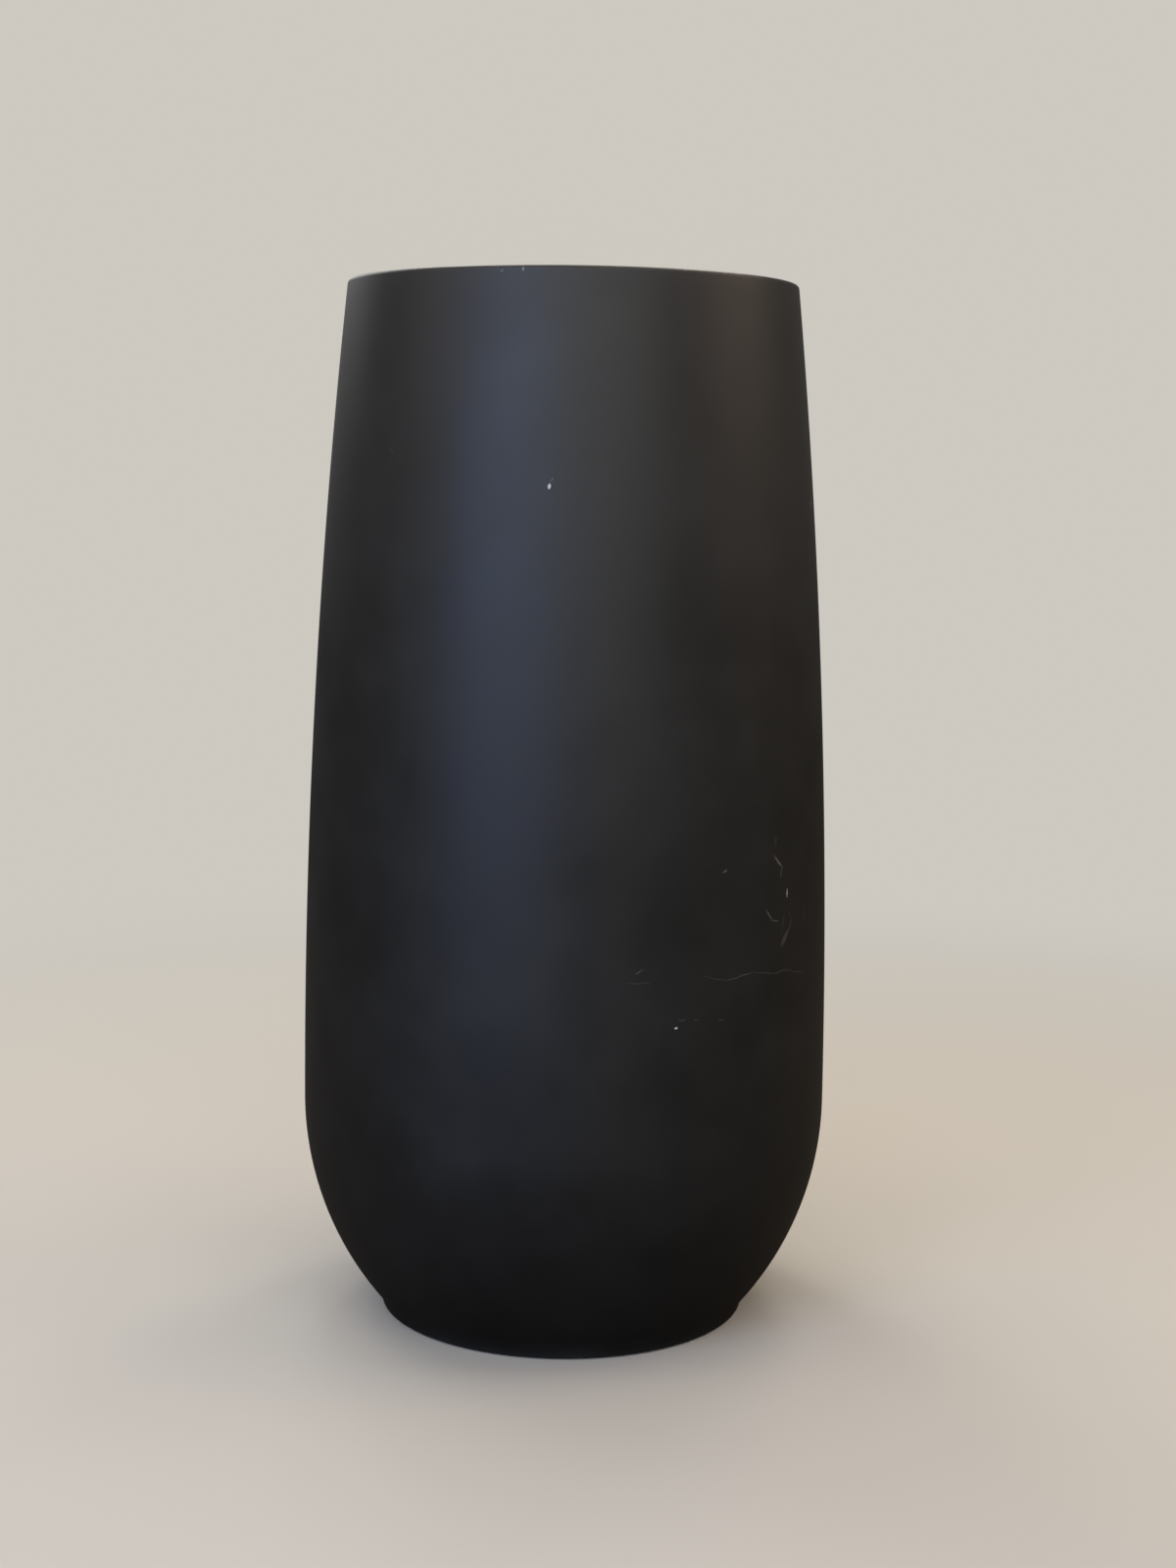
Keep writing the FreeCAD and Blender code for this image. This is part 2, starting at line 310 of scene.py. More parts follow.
@dataclass(frozen=True)
class GelCoat:
    """Matt black gel coat, sprayed into the mould and rubbed back.

    It gives the eye a deep neutral black with a broad, soft sheen, a faint orange peel,
    clouded patches from handling, pale chips and scratches, and pale flecks along the rim
    that are partly real wear and partly a painted glint.

    Attributes:
        colour: the clean black.
        cloud: the paler black of the patches.
        pale_wear_and_glint: the pale tone of a chip, and of the rim's flecks of wear and painted
            glint.
        roughness: roughness of the clean coat.
        swing: how far it falls and rises over the patches.
        buffed: how much smoother hands have made the rim.
        patches: the patches from handling.
        peel: the orange peel, drawn coarse enough to show.
        shake: what makes the marks' edges ragged.
        shaken: how far an edge is moved, in millimetres.
        wear_glint_noise: the pattern of the rim's flecks, partly real wear and partly a painted
            glint.
        wear_glint_level: how pale those flecks of wear and painted glint are at most.
        arris: how far below the top it starts, and where it is full, in millimetres.
        peel_depth: depth of the orange peel, in millimetres.
        chip_depth: depth of a chip, in millimetres.
        mark_depth: how far a mark reaches into the wall, in millimetres.
        marks: the chips, specks and scratches.
    """

    colour: str = "#1a1a19"
    cloud: str = "#222221"
    pale_wear_and_glint: str = "#cbc8c1"
    roughness: float = 0.47
    swing: Pair = (-0.04, 0.07)
    buffed: float = 0.18
    patches: Grain = Grain(70.0, 4.0, 0.55)
    peel: Grain = Grain(1.6, 2.0, 0.6)
    shake: Grain = Grain(10.0, 4.0, 0.7)
    shaken: float = 4.0
    wear_glint_noise: Grain = Grain(9.0, 5.0, 0.75)
    wear_glint_level: float = 0.17
    arris: Pair = (3.2, 0.3)
    peel_depth: float = 0.06
    chip_depth: float = 0.15
    mark_depth: float = 12.0
    marks: tuple[Mark, ...] = (
        Mark(-4.3, 631.6, 5.0, 2.9, 80.0, 1.0),
        Mark(-3.7, 636.0, 4.0, 1.2, 60.0, 0.114),
        Mark(50.8, 367.4, 17.0, 2.2, 139.0, 0.19),
        Mark(51.9, 359.3, 10.6, 1.3, 81.0, 0.122),
        Mark(50.0, 382.7, 10.7, 1.6, 93.0, 0.046),
        Mark(54.2, 343.4, 8.0, 1.3, 90.0, 1.0),
        Mark(47.7, 330.0, 11.5, 1.4, 133.0, 0.16),
        Mark(49.7, 325.4, 11.0, 1.3, -16.0, 0.137),
        Mark(52.5, 321.4, 19.8, 1.3, 70.0, 0.049),
        Mark(55.2, 328.3, 15.0, 1.1, 122.0, 0.046),
        Mark(55.3, 318.9, 14.3, 1.4, 60.0, 0.065),
        Mark(53.2, 311.1, 18.0, 5.5, 43.0, 0.076),
        Mark(61.8, 323.7, 18.1, 1.7, 72.0, 0.053),
        Mark(64.5, 317.2, 18.1, 1.3, 73.0, 0.038),
        Mark(34.7, 366.0, 5.5, 2.2, 28.0, 0.125),
        Mark(32.6, 291.0, 25.1, 0.9, -14.0, 0.049),
        Mark(38.8, 290.1, 31.7, 1.0, 6.5, 0.099),
        Mark(45.8, 289.4, 31.6, 0.9, -10.0, 0.068),
        Mark(51.6, 287.3, 22.1, 1.0, -1.0, 0.091),
        Mark(57.8, 284.0, 35.9, 0.9, -13.0, 0.076),
        Mark(15.4, 299.9, 7.9, 1.2, 27.0, 0.099),
        Mark(15.4, 291.9, 19.4, 1.1, -2.5, 0.042),
        Mark(23.4, 258.7, 3.2, 2.2, 16.0, 1.0),
        Mark(24.8, 263.7, 6.7, 1.0, 4.0, 0.084),
        Mark(28.0, 262.9, 5.0, 1.0, -5.0, 0.068),
        Mark(33.9, 261.0, 5.4, 1.1, -5.0, 0.076),
        Mark(75.9, 621.0, 3.6, 2.4, 80.0, 0.342),
        Mark(82.0, 690.0, 2.6, 1.8, 75.0, 0.228),
        Mark(-43.9, 654.4, 8.0, 1.2, -20.0, 0.046),
        Mark(-16.5, 776.0, 3.4, 1.8, 25.0, 0.133),
        Mark(-11.3, 776.8, 3.4, 1.6, 100.0, 0.323),
        Mark(-148.0, 508.0, 22.0, 0.9, 14.0, 0.099),
        Mark(-143.5, 510.5, 16.0, 0.8, -6.0, 0.076),
        Mark(157.0, 402.0, 5.0, 1.8, 60.0, 0.209),
        Mark(112.0, 118.0, 11.0, 1.2, 150.0, 0.133),
        Mark(-96.0, 236.0, 6.0, 1.5, 70.0, 0.152),
    )

    def marked(self, put: Put, place: Node, flank: Flank) -> Node:
        """Lay every mark on the surface.

        Args:
            put: the function that adds to the material's tree.
            place: Object coordinates, shaken a little.
            flank: the form that the marks lie on.

        Returns:
            A node that gives 0 on clean gel coat and up to 1 on a mark.
        """
        total: Node | None = None
        for mark in self.marks:
            spot = mark.frame_on(flank.radius_at(mark.height), self.mark_depth)
            local = put("ShaderNodeMapping", {"Vector": place, **spot}, vector_type="TEXTURE")
            reach = put("ShaderNodeVectorMath", {0: local}, operation="LENGTH")
            fade = span(reach.outputs["Value"], (0.55, 1.0), (mark.shade, 0.0))
            mask = put("ShaderNodeMapRange", fade)
            both = {0: total, 1: mask}
            total = put("ShaderNodeMath", both, operation="MAXIMUM") if total else mask
        return total

    def build(self, flank: Flank) -> Material:
        """Build the material.

        Args:
            flank: the form that the marks lie on.

        Returns:
            The gel coat's material.
        """
        material, put, place = new_material("matt_gel_coat")
        cloud, peel, shake, wear_glint_noise = (
            put("ShaderNodeTexNoise", grain.at(place))
            for grain in (self.patches, self.peel, self.shake, self.wear_glint_noise)
        )
        middle = {0: shake.outputs["Color"], 1: (0.5, 0.5, 0.5)}
        centred = put("ShaderNodeVectorMath", middle, operation="SUBTRACT")
        moved = {0: centred, 1: (self.shaken * MM,) * 3, 2: place}
        shaken = put("ShaderNodeVectorMath", moved, operation="MULTIPLY_ADD")
        marks = self.marked(put, shaken, flank)
        height = put("ShaderNodeSeparateXYZ", {0: place}).outputs["Z"]
        rim = metres(*(flank.height - depth for depth in self.arris))
        arris = put("ShaderNodeMapRange", span(height, rim))
        # Pale flecks along the rim's arris: partly real wear, partly a painted glint.
        wear_glint_level = put("ShaderNodeMapRange", span(wear_glint_noise, (0.6, 0.72), (0.0, self.wear_glint_level)))
        rim_wear_glint = put("ShaderNodeMath", {0: arris, 1: wear_glint_level}, operation="MULTIPLY")
        pale_wear_and_glint = put("ShaderNodeMath", {0: marks, 1: rim_wear_glint}, operation="MAXIMUM")
        patchy = put("ShaderNodeMapRange", span(cloud, (0.35, 0.75)))
        black = put("ShaderNodeMix", tones(patchy, self.colour, self.cloud), data_type="RGBA")
        # The pale tone goes over the chips and scratches, and over the rim's flecks of wear and
        # painted glint.
        chips_and_glint_mix = tones(pale_wear_and_glint, black.outputs[2], self.pale_wear_and_glint)
        colour = put("ShaderNodeMix", chips_and_glint_mix, data_type="RGBA")
        satin = (self.roughness + self.swing[0], self.roughness + self.swing[1])
        roughness = put("ShaderNodeMapRange", span(cloud, (0.3, 0.75), satin))
        smoother = {0: arris, 1: -self.buffed, 2: roughness}
        rubbed = put("ShaderNodeMath", smoother, operation="MULTIPLY_ADD")
        relief = {"Height": peel, "Strength": 0.35, "Distance": self.peel_depth * MM}
        sunk = {"Height": pale_wear_and_glint, "Strength": 0.5, "Distance": self.chip_depth * MM}
        sunk["Normal"] = put("ShaderNodeBump", relief)
        coat(put, colour, rubbed, put("ShaderNodeBump", sunk, invert=True), IOR=1.5)
        return material


@dataclass(frozen=True)
class Laminate:
    """Brushed black flow coat over chopped glass mat, as laid up inside the pot.

    It gives the eye a dull black with the strands of the mat just showing through and
    the brush's level streaks.

    Attributes:
        colour: the flow coat's black.
        strand: the paler tone over a strand.
        roughness: middle roughness.
        swing: how far it falls and rises over the streaks.
        strand_width: distance between strands, in millimetres.
        streak: a brush streak's length along X and Y, and its height.
        relief_depth: depth of the strands and the streaks.
    """

    colour: str = "#171716"
    strand: str = "#2b2a27"
    roughness: float = 0.6
    swing: float = 0.12
    strand_width: float = 11.0
    streak: Triple = (60.0, 60.0, 2.0)
    relief_depth: float = 0.25

    def build(self) -> Material:
        """Build the material.

        Returns:
            The laminate's material.
        """
        material, put, place = new_material("brushed_flow_coat")
        net = {"Vector": place, "Scale": 1 / (self.strand_width * MM), "Randomness": 1.0}
        mat = put("ShaderNodeTexVoronoi", net, feature="DISTANCE_TO_EDGE")
        strands = put("ShaderNodeMapRange", span(mat, (0.0, 0.07), (1.0, 0.0)))
        scale = tuple(1 / size for size in metres(*self.streak))
        flat = put("ShaderNodeMapping", {"Vector": place, "Scale": scale})
        streaks = {"Vector": flat, "Scale": 1.0, "Detail": 4.0, "Roughness": 0.6}
        brush = put("ShaderNodeTexNoise", streaks)
        dull = tones(strands, self.colour, self.strand)
        colour = put("ShaderNodeMix", dull, data_type="RGBA")
        both = {0: strands, 1: 0.5, 2: brush}
        height = put("ShaderNodeMath", both, operation="MULTIPLY_ADD")
        satin = (self.roughness - self.swing, self.roughness + self.swing)
        roughness = put("ShaderNodeMapRange", span(brush, target=satin))
        relief = {"Height": height, "Strength": 0.5, "Distance": self.relief_depth * MM}
        coat(put, colour, roughness, put("ShaderNodeBump", relief))
        return material


@dataclass(frozen=True)
class MouldedSkin:
    """A moulded polymer skin, as the mould's texture leaves it.

    It gives the eye a dark surface with a fine grain and a soft sheen, and faint paler
    clouds where the melt flowed and bloomed.

    Attributes:
        name: the real material and how it was made.
        colour: the main colour.
        bloom: the paler tone of its clouds.
        roughness: middle roughness.
        grain: width of the mould's texture grains, in millimetres.
        grain_depth: depth of those grains.
        cloud: width of the clouds.
        swing: how far roughness falls and rises over the clouds.
    """

    name: str
    colour: str
    bloom: str
    roughness: float
    grain: float
    grain_depth: float
    cloud: float
    swing: float = 0.08

    def build(self) -> Material:
        """Build the material.

        Returns:
            The skin's material.
        """
        material, put, place = new_material(self.name)
        spark = {"Vector": place, "Scale": 1 / (self.grain * MM), "Randomness": 1.0}
        grain = put("ShaderNodeTexVoronoi", spark, feature="SMOOTH_F1")
        cloud = put("ShaderNodeTexNoise", Grain(self.cloud, 5.0, 0.6).at(place))
        patchy = put("ShaderNodeMapRange", span(cloud, (0.38, 0.72)))
        colour = put("ShaderNodeMix", tones(patchy, self.colour, self.bloom), data_type="RGBA")
        satin = (self.roughness - self.swing, self.roughness + self.swing)
        roughness = put("ShaderNodeMapRange", span(cloud, (0.3, 0.7), satin))
        relief = {"Height": grain, "Strength": 0.6, "Distance": self.grain_depth * MM}
        coat(put, colour, roughness, put("ShaderNodeBump", relief))
        return material


@dataclass(frozen=True)
class BrushedStainless:
    """Brushed stainless bar, linished along its length before it was bent.

    It gives the eye a bright grey metal with fine streaks that run with the bar, and a
    dull brown tint where the pins were welded on.

    Attributes:
        colour: the metal's bright tone.
        dark: the tone in a streak.
        tint: the weld's tint.
        tinted: how much of that tint the pins get.
        roughness: middle roughness.
        swing: how far it falls and rises over the streaks.
        streak: a streak's length and width, in millimetres.
        streak_depth: its depth.
        tint_reach: how far the tint goes from a pin.
    """

    colour: str = "#b2b1ae"
    dark: str = "#82817e"
    tint: str = "#8a7a66"
    tinted: float = 0.55
    roughness: float = 0.42
    swing: Pair = (-0.08, 0.1)
    streak: Pair = (18.0, 0.35)
    streak_depth: float = 0.03
    tint_reach: float = 9.0

    def build(self, pin_y: float) -> Material:
        """Build the material.

        Args:
            pin_y: distance of the hinge pins from the middle, in metres.

        Returns:
            The bar's material, whose streaks read the bar's own UV map.
        """
        material, put, place = new_material("brushed_stainless_steel")
        along = put("ShaderNodeUVMap", uv_map="along")
        scale = tuple(1 / size for size in metres(*self.streak))
        drawn = put("ShaderNodeMapping", {"Vector": along, "Scale": (*scale, 1.0)})
        lines = {"Vector": drawn, "Scale": 1.0, "Detail": 3.0, "Roughness": 0.6}
        streaks = put("ShaderNodeTexNoise", lines)
        across = put("ShaderNodeSeparateXYZ", {0: place}).outputs["Y"]
        reach = put("ShaderNodeMath", {0: across}, operation="ABSOLUTE")
        weld = (pin_y - self.tint_reach * MM, pin_y)
        heat = put("ShaderNodeMapRange", span(reach, weld, (0.0, self.tinted)))
        metal = put("ShaderNodeMix", tones(streaks, self.dark, self.colour), data_type="RGBA")
        tinted = tones(heat, metal.outputs[2], self.tint)
        colour = put("ShaderNodeMix", tinted, data_type="RGBA")
        satin = (self.roughness + self.swing[0], self.roughness + self.swing[1])
        roughness = put("ShaderNodeMapRange", span(streaks, (0.3, 0.7), satin))
        relief = {"Height": streaks, "Strength": 0.3, "Distance": self.streak_depth * MM}
        coat(put, colour, roughness, put("ShaderNodeBump", relief), Metallic=1.0)
        return material


@dataclass(frozen=True)
class StudioPaper:
    """Pale matt paper on the floor, which keeps the shadow, and the pale air past it.

    It gives the eye a plain ground without an edge. Away from the pot, camera rays meet
    the paper's own colour, as they do in the air, and it stays the same from every side.
    The rays that light the pot meet a darker tone, as off a dull floor. Mirrored rays see
    a small share of the pale ground, because all of it turns the black coat grey.

    Attributes:
        colour: what the camera sees.
        bounce: the tone that lights the pot from below.
        air: the colour of the air's own light.
        air_strength: the strength of that light.
        mirrored: the share of the pale ground that mirrored rays see.
        roughness: the paper's roughness.
        specular: how little the paper shines.
        fibre: the paper's fibres.
        fibre_depth: their depth, in millimetres.
        fade: distances from the pot between which the ground loses its shading, in metres.
    """

    colour: str = "#cdc9c1"
    bounce: str = "#33291c"
    air: str = "#ece9e6"
    air_strength: float = 0.15
    mirrored: float = 0.08
    roughness: float = 0.9
    specular: float = 0.1
    fibre: Grain = Grain(4.0, 3.0, 0.5)
    fibre_depth: float = 0.05
    fade: Pair = (0.5, 1.9)

    def seen(self, put: Put) -> Node:
        """Work out how much of the pale ground a ray sees.

        Args:
            put: the function that adds to the tree of the paper or of the air.

        Returns:
            A node that gives 1 for a ray from the camera or through glass, and less for a
            mirrored ray.
        """
        path = put("ShaderNodeLightPath").outputs
        direct = {0: path["Is Camera Ray"], 1: path["Is Transmission Ray"]}
        clear = put("ShaderNodeMath", direct, operation="MAXIMUM")
        share = {0: path["Is Glossy Ray"], 1: self.mirrored, 2: clear}
        return put("ShaderNodeMath", share, operation="MULTIPLY_ADD", use_clamp=True)

    def build(self) -> Material:
        """Build the material.

        Returns:
            The paper's material.
        """
        material, put, place = new_material("studio_paper")
        fibre = put("ShaderNodeTexNoise", self.fibre.at(place))
        relief = {"Height": fibre, "Strength": 0.1, "Distance": self.fibre_depth * MM}
        bump = put("ShaderNodeBump", relief)
        matt = tones(self.seen(put), self.bounce, self.colour)
        tone = put("ShaderNodeMix", matt, data_type="RGBA")
        sheet = {"Base Color": tone.outputs[2], "Roughness": self.roughness, "Normal": bump}
        sheet["Specular IOR Level"] = self.specular
        paper = put("ShaderNodeBsdfPrincipled", sheet)
        reach = put("ShaderNodeVectorMath", {0: place}, operation="LENGTH").outputs["Value"]
        fade = span(reach, self.fade)
        away = put("ShaderNodeMapRange", fade, interpolation_type="SMOOTHSTEP")
        camera = put("ShaderNodeLightPath").outputs["Is Camera Ray"]
        plain = put("ShaderNodeMath", {0: away, 1: camera}, operation="MULTIPLY")
        flat = put("ShaderNodeEmission", {"Color": linear(self.colour), "Strength": 1.0})
        ground = put("ShaderNodeMixShader", {0: plain, 1: paper, 2: flat})
        put("ShaderNodeOutputMaterial", {"Surface": ground})
        return material

    def world(self) -> World:
        """Build the air: dim soft light, and the paper's colour to the eye.

        Returns:
            The air, as a world.
        """
        world = bpy.data.worlds.new("studio_air")
        world.use_nodes = True
        world.node_tree.nodes.clear()
        put = partial(add, world.node_tree)
        lit = {"Color": linear(self.air), "Strength": self.air_strength}
        dim = put("ShaderNodeBackground", lit)
        pale = put("ShaderNodeBackground", {"Color": linear(self.colour), "Strength": 1.0})
        air = put("ShaderNodeMixShader", {0: self.seen(put), 1: dim, 2: pale})
        put("ShaderNodeOutputWorld", {"Surface": air})
        return world


def arc(centre: Pair, radius: float, start: float, end: float, steps: int) -> list[Pair]:
    """Return points along an arc.

    Args:
        centre: the arc's centre.
        radius: the arc's radius.
        start: first angle, in radians.
        end: last angle.
        steps: number of sides.

    Returns:
        The arc's points, both ends among them.
    """
    angles = [start + (end - start) * step / steps for step in range(steps + 1)]
    return [(centre[0] + radius * math.cos(a), centre[1] + radius * math.sin(a)) for a in angles]


def rounded(corners: list[Triple], steps: int = 5) -> list[Pair]:
    """Round the corners of an open line.

    Args:
        corners: each corner's two coordinates and its radius, 0 for a sharp one.
        steps: number of sides that each rounding gets.

    Returns:
        The line's points, in the corners' own units.
    """
    line: list[Pair] = []
    for index, (x, y, radius) in enumerate(corners):
        if radius == 0 or index in (0, len(corners) - 1):
            line.append((x, y))
            continue
        here = Vector((x, y))
        before = Vector(corners[index - 1][:2]) - here
        after = Vector(corners[index + 1][:2]) - here
        half = before.angle(after) / 2
        reach = radius / math.tan(half)
        ways = before.normalized(), after.normalized()
        first, last = here + ways[0] * reach, here + ways[1] * reach
        middle = here + (ways[0] + ways[1]).normalized() * (radius / math.sin(half))
        sweep = (first - middle).angle_signed(last - middle)
        base = math.atan2(first.y - middle.y, first.x - middle.x)
        for step in range(steps + 1):
            angle = base - sweep * step / steps
            line.append((middle.x + radius * math.cos(angle), middle.y + radius * math.sin(angle)))
    return line


def rounded_box(width: float, depth: float, radius: float, steps: int = 4) -> list[Pair]:
    """Return the closed outline of a rectangle with rounded corners.

    Args:
        width: the rectangle's width.
        depth: its depth.
        radius: its corners' radius.
        steps: number of sides at each corner.

    Returns:
        The outline's points, anticlockwise.
    """
    flats = width / 2 - radius, depth / 2 - radius
    outline: list[Pair] = []
    for quarter, (x, y) in enumerate(((1, 1), (-1, 1), (-1, -1), (1, -1))):
        start = quarter * math.pi / 2
        centre = (x * flats[0], y * flats[1])
        outline += arc(centre, radius, start, start + math.pi / 2, steps)
    return outline


def skin(body: BMesh, rings: list[list[Triple]], closed: bool = False) -> list[BMFace]:
    """Join rings of points with faces.

    Args:
        body: the working mesh that gets them.
        rings: rings of equal length, or of one point at a pole, in metres.
        closed: whether the last ring joins the first. Otherwise open ends are closed.

    Returns:
        The new faces in the rings' order, and the ends last.
    """
    loops = [[body.verts.new(point) for point in ring] for ring in rings]
    faces: list[BMFace] = []
    for low, high in zip(loops, loops[1:] + (loops[:1] if closed else [])):
        count = max(len(low), len(high))
        for i in range(count):
            j = (i + 1) % count
            if len(low) == 1:
                corners = [low[0], high[j], high[i]]
            elif len(high) == 1:
                corners = [low[i], low[j], high[0]]
            else:
                corners = [low[i], low[j], high[j], high[i]]
            faces.append(body.faces.new(corners))
    ends = [] if closed else [end for end in (loops[0], loops[-1]) if len(end) > 1]
    return faces + [body.faces.new(end) for end in ends]


def finished_mesh(name: str, body: BMesh, sharp: float = 40.0) -> Mesh:
    """Turn a working mesh into a smooth-shaded one that faces outwards.

    Args:
        name: the mesh's name.
        body: the working mesh, which is freed.
        sharp: angle in degrees past which an edge stays crisp.

    Returns:
        The finished mesh.
    """
    bmesh.ops.remove_doubles(body, verts=body.verts, dist=1e-6)
    bmesh.ops.recalc_face_normals(body, faces=body.faces)
    mesh = bpy.data.meshes.new(name)
    body.to_mesh(mesh)
    body.free()
    mesh.shade_smooth()
    mesh.set_sharp_from_angle(angle=math.radians(sharp))
    return mesh


def lofted(name: str, rings: list[list[Triple]], closed: bool = False) -> Mesh:
    """Make a mesh from rings of points, as skin does.

    Args:
        name: the mesh's name.
        rings: the rings, in metres.
        closed: whether the last ring joins the first.

    Returns:
        The finished mesh.
    """
    body = bmesh.new()
    skin(body, rings, closed)
    return finished_mesh(name, body)


def lathe(
    name: str, profile: list[Pair], closed: bool = False, segments: int = 192, inside: int = 0
) -> Mesh:
    """Turn a half section, in millimetres, round the Z axis.

    Args:
        name: the mesh's name.
        profile: radius and height of each point.
        closed: whether the section is a closed loop.
        segments: number of sides round the axis.
        inside: the profile's side from which faces take the second material, 0 for none.

    Returns:
        The turned mesh, in metres.
    """
    turns = [2 * math.pi * i / segments for i in range(segments)]
    rings = [
        [metres(r * math.cos(turn), r * math.sin(turn), z) for turn in (turns if r > 1e-6 else [0])]
        for r, z in profile
    ]
    body = bmesh.new()
    faces = skin(body, rings, closed)
    for face in faces[inside * segments :] if inside else []:
        face.material_index = 1
    return finished_mesh(name, body)


def extruded(name: str, outline: list[Pair], frame_of: Matrix, depth: float) -> Mesh:
    """Make a prism.

    Args:
        name: the mesh's name.
        outline: closed outline, in millimetres, in the frame's XY plane.
        frame_of: the frame, in metres.
        depth: the prism's depth along the frame's Z axis, in millimetres.

    Returns:
        The prism's mesh.
    """
    levels = (0.0, depth)
    rings = [[frame_of @ Vector(metres(x, y, z)) for x, y in outline] for z in levels]
    return lofted(name, rings)


def joined(name: str, parts: list[Mesh]) -> Mesh:
    """Gather several meshes in one.

    Args:
        name: the new mesh's name.
        parts: the meshes.

    Returns:
        The new mesh, whose parts keep their own surfaces and crisp edges.
    """
    body = bmesh.new()
    for part in parts:
        body.from_mesh(part)
    mesh = bpy.data.meshes.new(name)
    body.to_mesh(mesh)
    body.free()
    return mesh


def placed(name: str, data: ID) -> Object:
    """Put an object in the scene.

    Args:
        name: the object's name.
        data: its mesh, camera or lamp data.

    Returns:
        The object.
    """
    thing = bpy.data.objects.new(name, data)
    bpy.context.scene.collection.objects.link(thing)
    return thing


def shown(
    name: str, mesh: Mesh, materials: list[Material], body: Body, node: str
) -> None:
    """Show a finished mesh on a body, in place of a node of the frame.

    Args:
        name: the piece's name.
        mesh: its mesh, with its place in it.
        materials: its materials, in the order of the faces' numbers.
        body: the body that it rides on.
        node: the node that it stands for.
    """
    mesh.materials.clear()
    for material in materials:
        mesh.materials.append(material)
    piece = placed(name, mesh)
    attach(piece, body.value)
    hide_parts(node)
    LOG.info("%s rides on %s, %d faces", name, body.value, len(mesh.polygons))


def evaluated(work: Object) -> Mesh:
    """Return what a working object's modifiers make, and remove the object.

    Args:
        work: the working object.

    Returns:
        The plain mesh.
    """
    bpy.context.view_layer.update()
    graph = bpy.context.evaluated_depsgraph_get()
    mesh = bpy.data.meshes.new_from_object(work.evaluated_get(graph), depsgraph=graph)
    mesh.name = work.name
    bpy.data.objects.remove(work)
    return mesh


def carved(mesh: Mesh, cutters: list[Mesh]) -> Mesh:
    """Cut closed meshes out of a closed mesh.

    Args:
        mesh: the mesh to cut.
        cutters: the meshes that are cut away.

    Returns:
        The cut mesh.
    """
    work = placed(mesh.name, mesh)
    tools = [placed("tool", cutter) for cutter in cutters]
    for tool in tools:
        cut = work.modifiers.new("cut", "BOOLEAN")
        cut.operation = "DIFFERENCE"
        cut.solver = "EXACT"
        cut.object = tool
    result = evaluated(work)
    for tool in tools:
        bpy.data.objects.remove(tool)
    return result


class Recipe:
    """A Geometry Nodes tree with named inputs, which finishes a working mesh."""

    KINDS = {int: "Int", float: "Float", Vector: "Vector", Material: "Material"}

    def __init__(self, name: str, values: dict[str, object]) -> None:
        """Start the tree.

        Args:
            name: the tree's name.
            values: the names of its inputs, each with its value. Material is one of them.
        """
        self.tree = bpy.data.node_groups.new(name, "GeometryNodeTree")
        self.put = partial(add, self.tree)
        self.values: dict[str, object] = {}
        face = self.tree.interface
        face.new_socket("Geometry", in_out="INPUT", socket_type="NodeSocketGeometry")
        for label, value in values.items():
            kind = f"NodeSocket{self.KINDS[type(value)]}"
            socket = face.new_socket(label, in_out="INPUT", socket_type=kind)
            self.values[socket.identifier] = value
        face.new_socket("Geometry", in_out="OUTPUT", socket_type="NodeSocketGeometry")
        self.given = self.put("NodeGroupInput").outputs

    def cook(self, geometry: Node, mesh: Mesh) -> Mesh:
        """End the tree in Realize Instances and Set Material, and run it.

        Args:
            geometry: the node that gives what the tree has made.
            mesh: the mesh that the tree starts from.

        Returns:
            The plain result.
        """
        real = self.put("GeometryNodeRealizeInstances", {0: geometry})
        dress = {"Geometry": real, "Material": self.given["Material"]}
        self.put("NodeGroupOutput", {0: self.put("GeometryNodeSetMaterial", dress)})
        work = placed(mesh.name, mesh)
        modifier = work.modifiers.new("recipe", "NODES")
        modifier.node_group = self.tree
        for key, value in self.values.items():
            modifier[key] = value
        return evaluated(work)


